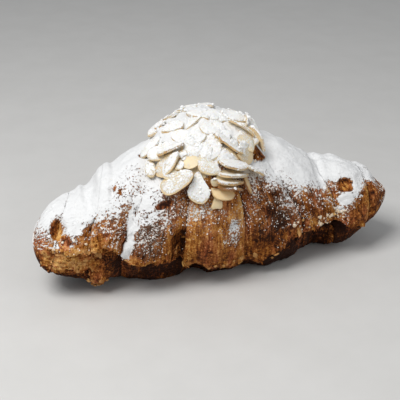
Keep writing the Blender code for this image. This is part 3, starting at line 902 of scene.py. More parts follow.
class Material:
    """A Principled material and short names for the nodes that feed it."""

    def __init__(self, name: str) -> None:
        """Starts a material of this name."""
        self.material = bpy.data.materials.new(name)
        self.material.use_nodes = True
        self.nodes = self.material.node_tree.nodes
        self.links = self.material.node_tree.links
        self.shader = self.nodes["Principled BSDF"]

    def set(self, socket: str, value: object) -> None:
        """Sets a socket of the shader to a constant."""
        self.shader.inputs[socket].default_value = value

    def connect(self, output: Socket, socket: str) -> None:
        """Feeds a socket of the shader."""
        self.links.new(output, self.shader.inputs[socket])

    def node(self, kind: str, inputs: dict[str | int, object], **settings: str) -> bpy.types.Node:
        """Adds a node.

        Args:
            kind: The node's type.
            inputs: The socket or the constant that feeds each of its inputs.
            settings: Its other settings.

        Returns:
            The node.
        """
        node = self.nodes.new(kind)
        for name, setting in settings.items():
            setattr(node, name, setting)
        for name, value in inputs.items():
            if isinstance(value, Socket):
                self.links.new(value, node.inputs[name])
            else:
                node.inputs[name].default_value = value
        return node

    def place(self) -> Socket:
        """The place in the object's own coordinates, in metres."""
        return self.node("ShaderNodeTexCoord", {}).outputs["Object"]

    def scaled_uv(self, scale: Point) -> Socket:
        """The piece's own UV map, stretched by this scale."""
        uv = self.node("ShaderNodeTexCoord", {}).outputs["UV"]
        return self.node("ShaderNodeMapping", {"Vector": uv, "Scale": scale}).outputs["Vector"]

    def attribute(self, name: str) -> Socket:
        """A number that the mesh holds at each vertex."""
        return self.node("ShaderNodeAttribute", {}, attribute_name=name).outputs["Fac"]

    def noise(self, place: Socket, scale: float, detail: float, rough: float) -> Socket:
        """Noise at a place.

        Args:
            place: The socket that gives the place.
            scale: Features for each unit of length.
            detail: How many finer layers it has.
            rough: How strong the finer layers are.

        Returns:
            The socket with the noise, around 0.5.
        """
        inputs = {"Vector": place, "Scale": scale, "Detail": detail, "Roughness": rough}
        return self.node("ShaderNodeTexNoise", inputs).outputs["Fac"]

    def maths(self, operation: str, first: Socket, second: Socket | float) -> Socket:
        """One step of arithmetic on a socket and a socket or number."""
        return self.node("ShaderNodeMath", {0: first, 1: second}, operation=operation).outputs[0]

    def total(self, *values: Socket | float) -> Socket:
        """The sum of values, the first of which is a socket."""
        return reduce(lambda first, second: self.maths("ADD", first, second), values)

    def product(self, *values: Socket | float) -> Socket:
        """The product of values, the first of which is a socket."""
        return reduce(lambda first, second: self.maths("MULTIPLY", first, second), values)

    def ranged(
        self, value: Socket, low: float, high: float, to_low: float, to_high: float
    ) -> Socket:
        """A value carried from low to high into to_low to to_high, and kept inside."""
        limits = (value, low, high, to_low, to_high)
        return self.node("ShaderNodeMapRange", dict(enumerate(limits))).outputs[0]

    def swing(self, noise_value: Socket, reach: float, spread: float = 0.2) -> Socket:
        """Noise, which strays by the spread from 0.5, carried into -reach to reach."""
        return self.ranged(noise_value, 0.5 - spread, 0.5 + spread, -reach, reach)

    def ramp(self, value: Socket, stops: Stops) -> Socket:
        """A colour ramp with these stops."""
        node = self.node("ShaderNodeValToRGB", {"Fac": value})
        elements = node.color_ramp.elements
        while len(elements) < len(stops):
            elements.new(0.5)
        for element, (position, colour) in zip(elements, stops):
            element.position = position
            element.color = (*colour, 1)
        return node.outputs["Color"]

    def mixed(self, share: Socket, first: Socket, second: Socket | Colour) -> Socket:
        """The first colour, going over to the second as the share rises."""
        second = (*second, 1) if isinstance(second, tuple) else second
        inputs = {0: share, 6: first, 7: second}
        return self.node("ShaderNodeMix", inputs, data_type="RGBA").outputs[2]

    def sugar_cover(self, fineness: float, bare: float, covered: float) -> Socket:
        """Where sugar hides what it lies on: a full cover, then a speckle, then nothing.

        Args:
            fineness: Grains for each metre.
            bare: How far the sugar is over the speckle where it starts to hide what it lies on.
            covered: How far it is over the speckle where it hides it fully.

        Returns:
            The socket with the share hidden.
        """
        grains = self.noise(self.place(), fineness, detail=2, rough=0.75)
        clumps = self.noise(self.place(), scale=330, detail=3, rough=0.6)
        speckle = self.total(self.product(grains, 0.8), self.product(clumps, 0.2))
        speckle = self.ranged(speckle, 0.37, 0.63, 0.02, 0.98)
        amount = self.product(self.attribute("sugar"), 1.2)
        return self.ranged(self.maths("SUBTRACT", amount, speckle), bare, covered, 0, 1)

    def bump(self, height: Socket, distance: float, strength: float) -> None:
        """Raises the surface's fine relief by a height."""
        inputs = {"Distance": distance, "Strength": strength, "Height": height}
        self.connect(self.node("ShaderNodeBump", inputs).outputs["Normal"], "Normal")


def deselect_all() -> None:
    """Deselects every object."""
    for thing in list(bpy.context.selected_objects):
        thing.select_set(False)
    bpy.context.view_layer.objects.active = None


def select_only(piece: bpy.types.Object) -> None:
    """Selects one object and makes it the active one."""
    deselect_all()
    piece.select_set(True)
    bpy.context.view_layer.objects.active = piece


def write_attribute(mesh: bpy.types.Mesh, name: str, values: list[float]) -> None:
    """Stores one number at each vertex of a mesh."""
    layer = mesh.attributes.new(name, "FLOAT", "POINT")
    layer.data.foreach_set("value", values)


def write_uv(mesh: bpy.types.Mesh, name: str, places: list[Range]) -> None:
    """Lays a UV map over a mesh, with one place for each vertex."""
    layer = mesh.uv_layers.active or mesh.uv_layers.new(name=name)
    flat = [value for loop in mesh.loops for value in places[loop.vertex_index]]
    layer.data.foreach_set("uv", flat)


def finish_piece(piece: bpy.types.Object, material: bpy.types.Material) -> None:
    """Gives a piece its one material and its body, and lets it stand for the solid."""
    piece.data.materials.clear()
    piece.data.materials.append(material)
    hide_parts(NODE)
    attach(piece, BODY)
    log.info("%s: %d faces", piece.name, len(piece.data.polygons))


@dataclass
class Crust:
    """The rolled crust, from a ball whose rings follow the dough's rims."""

    surface: CrustSurface = field(default_factory=CrustSurface)
    rings_in_bands: tuple[int, ...] = (12, 19, 26, 34, 35, 27, 35, 38, 32, 19, 12)
    columns: int = 328
    quick_share: float = 0.5
    fewest_rings: int = 6
    row_easing: float = 0.45
    tip_gap: float = 0.02
    crease: float = 0.04 * MM
    rim_count: int = 5
    rim_gap: float = 0.4 * MM
    middle_gap: float = 3 * MM
    seam_turn: float = 32
    beside_seam: float = 0.001
    streak_spread: tuple[float, ...] = (2.4, 2.0, 1.6, 1.1, 0.9)
    streak_step: float = 13.7
    streak_turn: float = 18
    sugar_height: float = 0.5 * MM
    sugar_covers: Range = (0.5, 0.85)
    sugar_waves: tuple[tuple[float, float, float, float], ...] = (
        (0.13, 7 * MM, 24, 4.0),
        (0.08, 2.4 * MM, 6, 9.0),
    )
    sugar_streaks: tuple[float, float, float, float] = (0.13, 7, 42, 2.0)
    sheltered_below: float = -0.4
    plain_tone: float = 0.56
    band_tone: float = 0.1
    # painted highlight: paler crust along the edge of each rim
    rim_painted_highlight: float = -0.26
    # painted shade: darker crust in the groove beside each rim
    groove_painted_shade: float = 0.34
    ledge_tone: float = -0.12
    under_ledge_tone: float = 0.16
    # Partly a deeper bake and partly painted shade: the crust darker towards the base, each row its
    # amount and the winding angles over which it comes in.
    base_bake_and_painted_shade: tuple[tuple[float, float, float], ...] = ((0.07, 84, 104), (0.14, 108, 136))
    darkest: float = 1.35
    # Patches of darker or paler crust; the rows marked below are painted shade, a painted shadow or
    # a painted highlight.
    tones: tuple[Patch, ...] = patches(
        (26, 76, 15, 48, 0.34),
        # painted shade: darker crust in the recess low under the right horn (this row and the next)
        (52, 106, 12, 26, 0.95),
        (57, 108, 9, 22, 0.5),
        # painted shade: darker crust in the hollow left of the middle band
        (-21, 102, 7.5, 26, 0.22),
        (-27, 60, 7, 9, 0.4),
        (-68, 98, 22, 40, -0.8),
        (-76, 100, 8, 60, -0.12),
        (-80, 66, 6, 40, -0.24),
        (-54, 98, 8, 16, 0.24),
        (-47, 112, 5, 18, 0.4),
        (-28, 122, 16, 22, 0.12),
        (-43, 106, 4, 12, -0.3),
        (-34, 80, 12, 32, 0.34),
        (-26, 88, 1.8, 20, -0.4),
        (-57, 136, 7, 26, -0.5),
        (-3, 86, 14, 42, -0.2),
        (-73, 34, 2.6, 14, 0.24),
        (-71, 50, 2.2, 14, -0.16),
        (74, 80, 12, 46, 0.14),
        (41, 86, 4.5, 9, -0.3),
        # painted highlight: a narrow pale line down a fold
        (9.5, 96, 1.6, 26, -0.4),
        # painted shade: darker low on the right half, towards the base
        (30, 126, 20, 26, 0.36),
        (38, 84, 9, 22, 0.16),
        (60.5, 47, 5, 11, -0.3),
        # painted shadow: a darker band under the top edge of the torn window
        (58.5, 38, 4.5, 4, 0.34),
        (-13, 72, 10, 9, -0.12),
        (17, 30, 6, 11, 0.12),
    )

    def band_knots(self, winding: float) -> list[float]:
        """Where the rims lie along the spine on one side's path from the base over the crown.

        Args:
            winding: The winding angle, from 0 to 360.

        Returns:
            The x of the left tip, the left rims from the outermost in, the right rims and the right
            tip.
        """
        roll = self.surface.roll
        knots = []
        for horn in (LEFT_HORN, RIGHT_HORN):
            rims = [self.rim_place(horn, number, winding) for number in range(self.rim_count)]
            if abs(winding - 180) < self.seam_turn:
                beyond = 180 - self.beside_seam if winding > 180 else 180 + self.beside_seam
                other = [self.rim_place(horn, number, beyond) for number in range(self.rim_count)]
                near = 1 - smooth_step(0, 1, abs(winding - 180) / self.seam_turn)
                rims = [mix(rim, apart, near / 2) for rim, apart in zip(rims, other)]
            knots.append([])
            for number, rim in enumerate(rims):
                end = roll.half_length - (self.rim_count + 1 - number) * self.rim_gap
                knots[-1].append(horn.sign * min(max(rim, 0), end))
        knots[0][0], knots[1][0] = self.middle_knots(winding)
        return [-roll.half_length, *reversed(knots[0]), *knots[1], roll.half_length]

    def rim_place(self, horn: Horn, number: int, winding: float) -> float:
        """How far out the rim of this number lies, counted on over the crown to the back."""
        roll = self.surface.roll
        wrap = number if winding <= 180 else number - 1
        return roll.edge_at(horn, wrap, winding) - roll.wandering(horn, winding)

    def middle_knots(self, winding: float) -> tuple[float, float]:
        """The x of the innermost rim on the left and on the right."""
        roll = self.surface.roll
        around = winding if winding <= 180 else 0.0
        places = []
        for horn in (LEFT_HORN, RIGHT_HORN):
            out = roll.edge_at(horn, 0, around) - roll.wandering(horn, winding)
            if winding > 180:
                out = mix(out, roll.edge_at(horn, 0, 180), smooth_step(270, 180, winding))
            places.append(horn.sign * out)
        return places[0], max(places[1], places[0] + self.middle_gap)

    def build(self, quick: bool) -> bpy.types.Object:
        """Builds the crust's bare form, without its sugar.

        Args:
            quick: Whether fewer rings and columns will do.

        Returns:
            The piece, whose vertices know their places on the roll.
        """
        share = self.quick_share if quick else 1.0
        counts = [max(self.fewest_rings, round(count * share)) for count in self.rings_in_bands]
        columns = round(self.columns * share)
        deselect_all()
        bpy.ops.mesh.primitive_uv_sphere_add(segments=columns, ring_count=sum(counts) + 1, radius=1)
        piece = bpy.context.active_object
        piece.name = "baked_crust"
        fractions = [
            (band, row, count) for band, count in enumerate(counts) for row in range(count)
        ]
        knots = [self.band_knots(360 * column / columns) for column in range(columns)]
        self.places = []
        for vertex in piece.data.vertices:
            polar = math.acos(min(1.0, max(-1.0, vertex.co.z)))
            ring = round(polar / math.pi * (len(fractions) + 1))
            column = round(math.atan2(vertex.co.y, vertex.co.x) / math.tau * columns) % columns
            winding = 360 * column / columns
            self.places.append(self.ring_place(ring, fractions, knots[column], winding))
        self.reshape(piece, [0.0] * len(self.places))
        self.turn_faces(piece)
        return piece

    def ring_place(
        self, ring: int, fractions: list[tuple[int, int, int]], knots: list[float], winding: float
    ) -> tuple[float, float]:
        """Where a vertex of the ball goes on the roll.

        Args:
            ring: The number of its ring, 0 at the left tip.
            fractions: The band, row and row count of each ring between the tips.
            knots: The rims' places in its column.
            winding: Its column's winding angle.

        Returns:
            Its x and winding angle.
        """
        half_length = self.surface.roll.half_length
        if ring == 0:
            return -half_length, winding
        if ring > len(fractions):
            return half_length, winding
        band, row, count = fractions[ring - 1]
        share = row / (count - 1)
        share = mix(share, 0.5 - 0.5 * math.cos(math.pi * share), self.row_easing)
        low, high = knots[band] + self.crease, knots[band + 1] - self.crease
        if band == 0:
            share = mix(self.tip_gap, 1, (row + 1) / count)
        if band == len(knots) - 2:
            share = mix(0, 1 - self.tip_gap, row / count)
        return mix(low, high, share), winding

    def reshape(self, piece: bpy.types.Object, cover: list[float]) -> None:
        """Carries each vertex to the crust's surface under this much sugar."""
        points = np.empty((len(self.places), 3), dtype=np.float32)
        for number, (x, winding) in enumerate(self.places):
            points[number] = self.surface.point(x, winding, cover[number])
        piece.data.vertices.foreach_set("co", points.ravel())
        piece.data.update()

    def turn_faces(self, piece: bpy.types.Object) -> None:
        """Points the faces outwards, and smooths them."""
        shape = bmesh.new()
        shape.from_mesh(piece.data)
        if shape.calc_volume(signed=True) < 0:
            bmesh.ops.reverse_faces(shape, faces=shape.faces)
        shape.to_mesh(piece.data)
        shape.free()
        select_only(piece)
        bpy.ops.object.shade_smooth()

    def map_streaks(self, piece: bpy.types.Object) -> None:
        """Lays a UV map with x across the streaks and the way round along them, in centimetres."""
        mesh = piece.data
        layer = mesh.uv_layers.active or mesh.uv_layers.new(name="streaks")
        corners = np.empty(len(mesh.loops), dtype=np.int32)
        mesh.loops.foreach_get("vertex_index", corners)
        along = np.array([self.along_streaks(*place) for place in self.places])[corners]
        around = np.array(self.places)[corners, 1]
        starts = np.empty(len(mesh.polygons), dtype=np.int32)
        mesh.polygons.foreach_get("loop_start", starts)
        highest = np.maximum.reduceat(around, starts)
        face_of = np.repeat(np.arange(len(starts)), np.diff(np.append(starts, len(corners))))
        around = np.where((highest[face_of] > 300) & (around < 60), around + 360, around)
        places = np.column_stack((along, around / self.streak_turn))
        layer.data.foreach_set("uv", places.astype(np.float32).ravel())

    def along_streaks(self, x: float, winding: float) -> float:
        """How many centimetres a place lies across the streaks, which follow their band's rim."""
        horn = self.surface.roll.horn(x)
        wrap, across, _ = self.surface.roll.across_band(x, winding)
        if wrap < 0:
            return x * 100
        spread = self.streak_spread[min(wrap, len(self.streak_spread) - 1)]
        return horn.sign * (across * spread + self.streak_step * (wrap + 1))

    def browning_and_painted_light(self, x: float, winding: float) -> float:
        """How dark the crust is at a place, from 0 for pale to 1 for burnt: its bake, with painted
        shade in the grooves, in some recesses and towards the base, a painted shadow at the torn
        window, and painted highlights along the rims and down one fold.
        """
        roll = self.surface.roll
        _, across, _ = roll.across_band(x, winding)
        tone = self.plain_tone + self.band_tone * math.sin(math.pi * min(1.0, across))
        # painted highlight: paler along the rim's edge
        tone += self.rim_painted_highlight * smooth_step(0.86, 1, across)
        # painted shade: darker in the groove beside the rim
        tone += self.groove_painted_shade * (1 - smooth_step(0, 0.16, across))
        past, _ = roll.past_ledge(x, winding)
        tone += self.under_ledge_tone * smooth_step(0, 10, past)
        tone += self.ledge_tone * smooth_step(-12, -2, past) * (1 - smooth_step(0, 4, past))
        # partly a deeper bake, partly painted shade: darker towards the base
        around = 180 - abs(winding - 180)
        for amount, start, end in self.base_bake_and_painted_shade:
            tone += amount * smooth_step(start, end, around)
        # patches of darker or paler crust, among them painted shade in recesses and low on the
        # right, a painted shadow and a painted highlight
        tone += felt(self.tones, x, winding, 0)
        return min(self.darkest, max(0.0, tone))

    def sugar(self, piece: bpy.types.Object, surfaces: Surfaces, fall: SugarFall) -> None:
        """Dusts the crust, and reshapes it under the sugar.

        Args:
            piece: The crust.
            surfaces: What shelters the crust from falling sugar.
            fall: Where sugar lies.
        """
        roll = self.surface.roll
        streakiness, fineness, streak_turn, streak_row = self.sugar_streaks
        amounts = []
        for vertex, (x, winding) in zip(piece.data.vertices, self.places):
            normal = vertex.normal
            facing = normal.z
            for strength, length, turn, row in self.sugar_waves:
                facing += strength * noise_at(x / length, winding / turn, row)
            along = self.along_streaks(x, winding) * fineness
            facing += streakiness * noise_at(along, winding / streak_turn, streak_row)
            sky = surfaces.open_sky(vertex.co, normal) if facing > self.sheltered_below else 0.0
            amounts.append(fall.amount(x, winding, facing, sky, roll.mound(x, winding)))
        covers = [smooth_step(*self.sugar_covers, amount) for amount in amounts]
        self.reshape(piece, covers)
        for vertex, cover in zip(piece.data.vertices, covers):
            vertex.co.z += self.sugar_height * cover
        write_attribute(piece.data, "sugar", amounts)
        for name, value in (("browning_and_painted_light", self.browning_and_painted_light), ("crumbly", self.surface.crumbly)):
            write_attribute(piece.data, name, [value(*place) for place in self.places])
        self.map_streaks(piece)


@dataclass
class AlmondMound:
    """The sliced almonds on the crown, in one piece: the solid's slices and small broken bits."""

    roll: Roll = field(default_factory=Roll)
    loose_count: int = 44
    seed: int = 11
    length_range: Range = millimetres(12.5, 17)
    width_range: Range = millimetres(7.5, 10)
    lift_range: Range = millimetres(-0.3, 1.6)
    spread_step: Range = (0.7548776662, 0.5698402910)
    spread_margin: float = 1.03
    least_mound: float = 0.3
    front_clear: float = 45
    tilt: float = 7
    most_tilt: float = 16
    normal_step: float = 3 * MM
    normal_turn: float = 6
    thickness: float = 0.88 * MM
    sides: int = 30
    point: float = 0.22
    tip: float = 0.2
    bow: float = 0.7 * MM
    waist: float = 0.5
    insets: tuple[float, ...] = (0.05, 0.13, 0.25, 0.27)
    unevenness: float = 0.12
    wave_size: float = 1.7
    twist_range: Range = millimetres(-0.5, 0.5)
    cup_range: Range = millimetres(-0.3, 0.7)
    cut_range: Range = (0.05, 0.45)
    cut_raggedness: float = 0.14
    uneven_thickness: float = 0.25
    thinner_edge: float = 0.3
    rim_taper: float = 0.05
    rim_start: float = 0.97
    waisted_width: float = 1.08
    rounding_angle: float = math.radians(50)
    shape_seed: int = 23
    broken_share: float = 0.18
    fragment_count: int = 24
    fragment_seed: int = 31
    fragment_mound: float = 0.5
    fragment_tilts: Range = (8, 9)
    fragment_lift: Range = millimetres(1.0, 1.9)
    fragment_length: Range = millimetres(5, 9)
    fragment_width: Range = millimetres(4, 6.5)
    fragment_broken_share: float = 0.7
    edge_dusting: float = 0.62
    dusting_turn: Range = (40, 16)
    face_toast: Range = (0.12, 0.1)
    tip_toast: Range = (0.05, 0.3)
    edge_toast: float = 0.24
    sugar_height: float = 0.5 * MM
    sugar_patch: float = 4 * MM

    def fragments(self) -> list[Slice]:
        """The small broken pieces that lie among the slices."""
        draw = random.Random(self.fragment_seed)
        roll = self.roll
        places: list[Slice] = []
        while len(places) < self.fragment_count:
            x = draw.uniform(roll.mound_left, roll.mound_right)
            winding = draw.uniform(roll.mound_back, roll.mound_front)
            if roll.mound(x, winding) < self.fragment_mound:
                continue
            heading = draw.uniform(0, 360)
            tilts = [draw.gauss(0, tilt) for tilt in self.fragment_tilts]
            ranges = (self.fragment_lift, self.fragment_length, self.fragment_width)
            sizes = [draw.uniform(*limits) for limits in ranges]
            places.append(Slice(x, winding, heading, *tilts, *sizes))
        return places

    def loose_slices(self) -> list[Slice]:
        """The slices that cover the mound, spread evenly and turned at random."""
        draw = random.Random(self.seed)
        roll = self.roll
        middle = (roll.mound_left + roll.mound_right) / 2
        half = (roll.mound_right - roll.mound_left) / 2 * self.spread_margin
        places: list[Slice] = []
        step = 0
        while len(places) < self.loose_count:
            step += 1
            x = middle + half * (2 * (step * self.spread_step[0] % 1) - 1)
            share = step * self.spread_step[1] % 1
            winding = mix(roll.mound_back, roll.mound_front, share) * self.spread_margin
            if roll.mound(x, winding) < self.least_mound or winding > self.front_clear:
                continue
            most = self.most_tilt
            tilts = [max(-most, min(most, draw.gauss(0, self.tilt))) for _ in range(2)]
            heading = draw.uniform(0, 360)
            ranges = (self.lift_range, self.length_range, self.width_range)
            sizes = [draw.uniform(*limits) for limits in ranges]
            places.append(Slice(x, winding, heading, *tilts, *sizes))
        return places

    def pose(self, place: Slice) -> Matrix:
        """The matrix that lays an almond slice at its place: length along X, face towards Z."""
        top = self.roll.mound_top
        x, winding, step, turn = place.x, place.winding, self.normal_step, self.normal_turn
        along = top(x + step, winding) - top(x - step, winding)
        around = top(x, winding + turn) - top(x, winding - turn)
        normal = around.cross(along).normalized()
        turned = Matrix.Identity(4)
        for angle, axis in ((place.heading, "Z"), (-place.pitch, "Y"), (place.roll, "X")):
            turned = turned @ Matrix.Rotation(math.radians(angle), 4, axis)
        point = top(x, winding) + normal * place.lift
        return Matrix.Translation(point) @ axes_on(normal, along) @ turned

    def model_slice(self) -> bpy.types.Object:
        """One slice at size 1: a disc drawn in by insets, thickened, with rounded edges."""
        deselect_all()
        bpy.ops.mesh.primitive_cylinder_add(
            vertices=self.sides, radius=1, depth=1, end_fill_type="NGON"
        )
        piece = bpy.context.active_object
        bpy.ops.object.mode_set(mode="EDIT")
        bpy.ops.mesh.select_all(action="DESELECT")
        shape = bmesh.from_edit_mesh(piece.data)
        for face in shape.faces:
            face.select_set(abs(face.normal.z) > 0.9)
        bmesh.update_edit_mesh(piece.data)
        for width in self.insets:
            bpy.ops.mesh.inset(thickness=width, depth=0)
        bpy.ops.mesh.poke()
        bpy.ops.object.mode_set(mode="OBJECT")
        return piece

    def shape_slice(
        self, shape: bmesh.types.BMesh, place: Slice, kind: SliceKind, draw: random.Random
    ) -> None:
        """Gives a unit slice its egg outline, bow, thickness and unevenness, and lays it in place.

        Args:
            shape: The mesh of one slice at size 1.
            place: Where it lies and how large it is.
            kind: How whole it is.
            draw: The source of its unevenness.
        """
        seed = draw.uniform(0, 50)
        twist = draw.uniform(*self.twist_range)
        cup = draw.uniform(*self.cup_range)
        cut = draw.uniform(*self.cut_range)
        for vertex in shape.verts:
            along, across, level = vertex.co
            out = min(1.0, math.hypot(along, across))
            wave = noise_at(along * self.wave_size, across * self.wave_size, seed)
            wave = 1 + self.unevenness * wave
            if kind is SliceKind.BROKEN:
                along = min(along, cut + self.cut_raggedness * noise_at(across * 3, seed))
            # A chip is cut off along two slanted lines.
            if kind is SliceKind.CHIP:
                along = max(-0.82, min(along, 0.35 + 0.5 * across))
                across = max(-0.68, min(across, 0.6 - 0.3 * along))
            uneven = 1 + self.uneven_thickness * noise_at(along, across, seed + 9)
            thick = self.thickness * (1 - self.thinner_edge * out ** 6) * uneven
            edge = 1 - self.rim_taper * abs(level * 2) if out > self.rim_start else 1.0
            pointed = 1 - self.point * along - self.tip * max(0.0, along) ** 2
            if kind is SliceKind.WAISTED:
                pointed = self.waisted_width - self.waist * smooth_step(-0.35, 0.55, along)
            vertex.co.x = along * place.length / 2 * wave * edge
            vertex.co.y = across * place.width / 2 * pointed * wave * edge
            bent = self.bow * along * along - twist * along * across + cup * across * across
            vertex.co.z = level * thick - bent
        bmesh.ops.transform(shape, matrix=self.pose(place), verts=shape.verts)

    def build(self) -> bpy.types.Object:
        """Builds all the slices as one piece, with their toasting and streaks; on the shelf_under
        slice the toasting is partly painted shade.

        Returns:
            The piece, still without sugar.
        """
        draw = random.Random(self.shape_seed)
        model = self.model_slice()
        whole = bmesh.new()
        toast_and_shade: list[float] = []
        self.bareness: list[float] = []
        self.dusting: list[float] = []
        grain: list[Range] = []
        named = list(PLACED_SLICES.items())
        named += [("loose", place) for place in self.loose_slices()]
        named += [("fragment", place) for place in self.fragments()]
        for name, place in named:
            shape = bmesh.new()
            shape.from_mesh(model.data)
            outs = [min(1.0, math.hypot(vertex.co.x, vertex.co.y)) for vertex in shape.verts]
            grain.extend((vertex.co.x + draw.random(), vertex.co.y) for vertex in shape.verts)
            # each slice's toast, with painted shade for shelf_under
            base = max(0.0, draw.gauss(*self.face_toast)) + TOAST_AND_SHADE_SLICES.get(name, 0.0)
            tip = draw.uniform(*self.tip_toast)
            for out in outs:
                toast_and_shade.append(base + tip * out ** 5 + self.edge_toast * smooth_step(0.9, 1, out))
            self.bareness.extend([BARE_SLICES.get(name, 0.0)] * len(outs))
            high = smooth_step(*self.dusting_turn, abs(turn_apart(place.winding, 0)))
            dusting = max(self.edge_dusting * high, DUSTED_SLICES.get(name, 0.0))
            self.dusting.extend([dusting] * len(outs))
            chance = self.fragment_broken_share if name == "fragment" else self.broken_share
            kind = SliceKind.BROKEN if draw.random() < chance else SliceKind.WHOLE
            if name in PLACED_SLICES:
                kind = SLICE_KINDS.get(name, SliceKind.WHOLE)
            self.shape_slice(shape, place, kind, draw)
            one = bpy.data.meshes.new("one_slice")
            shape.to_mesh(one)
            shape.free()
            whole.from_mesh(one)
            bpy.data.meshes.remove(one)
        mesh = model.data
        whole.to_mesh(mesh)
        whole.free()
        model.name = "almond_slices"
        write_attribute(mesh, "toast_and_shade", toast_and_shade)
        write_uv(mesh, "grain", grain)
        select_only(model)
        bpy.ops.object.shade_smooth_by_angle(angle=self.rounding_angle)
        return model

    def sugar(self, piece: bpy.types.Object, surfaces: Surfaces) -> None:
        """Dusts the slices where they face the open sky.

        Args:
            piece: The slices.
            surfaces: What shelters them from falling sugar.
        """
        amounts = []
        for vertex, bareness, dusting in zip(piece.data.vertices, self.bareness, self.dusting):
            normal = vertex.normal
            sky = surfaces.open_sky(vertex.co, normal) if normal.z > 0 else 0.0
            held = smooth_step(0.05, 0.6, normal.z) * (0.1 + 0.9 * sky)
            patchy = noise.noise(vertex.co / self.sugar_patch)
            held = max(held, dusting * (1 + 0.8 * patchy) * smooth_step(-0.3, 0.3, normal.z))
            amounts.append(min(1.0, max(0.0, held * (1.05 + 0.3 * patchy) - bareness * held)))
        for vertex, amount in zip(piece.data.vertices, amounts):
            vertex.co.z += self.sugar_height * smooth_step(0.4, 0.9, amount)
        write_attribute(piece.data, "sugar", amounts)


class Flake(NamedTuple):
    """Where one thin leaf of crust stands: its place, turn, lift at its free end, size and tone."""

    x: float
    winding: float
    heading: float
    lifted: float
    length: float
    width: float
    paler: float


class FlakeKind(NamedTuple):
    """How many leaves one part of the crust has, and the ranges of their lift, size and tone."""

    count: int
    lifted: Range
    length: Range
    width: Range
    paler: Range

    def leaf(self, draw: random.Random, x: float, winding: float, heading: float) -> Flake:
        """A leaf of this kind at a place, of random size."""
        ranges = (self.lifted, self.length, self.width, self.paler)
        return Flake(x, winding, heading, *(draw.uniform(*limits) for limits in ranges))


PLACED_FLAKES = tuple(
    Flake(x * MM, winding, heading, lifted, length * MM, width * MM, paler)
    for x, winding, heading, lifted, length, width, paler in (
        (34.5, 96, -100, 22, 5.0, 2.4, 0.6),
        (-19, 95, 34, 8, 9.0, 1.8, 0.55),
        (-22.5, 104, 62, 6, 7.0, 1.4, 0.4),
        (-16.5, 106, 40, 6, 5.0, 1.2, 0.4),
    )
)


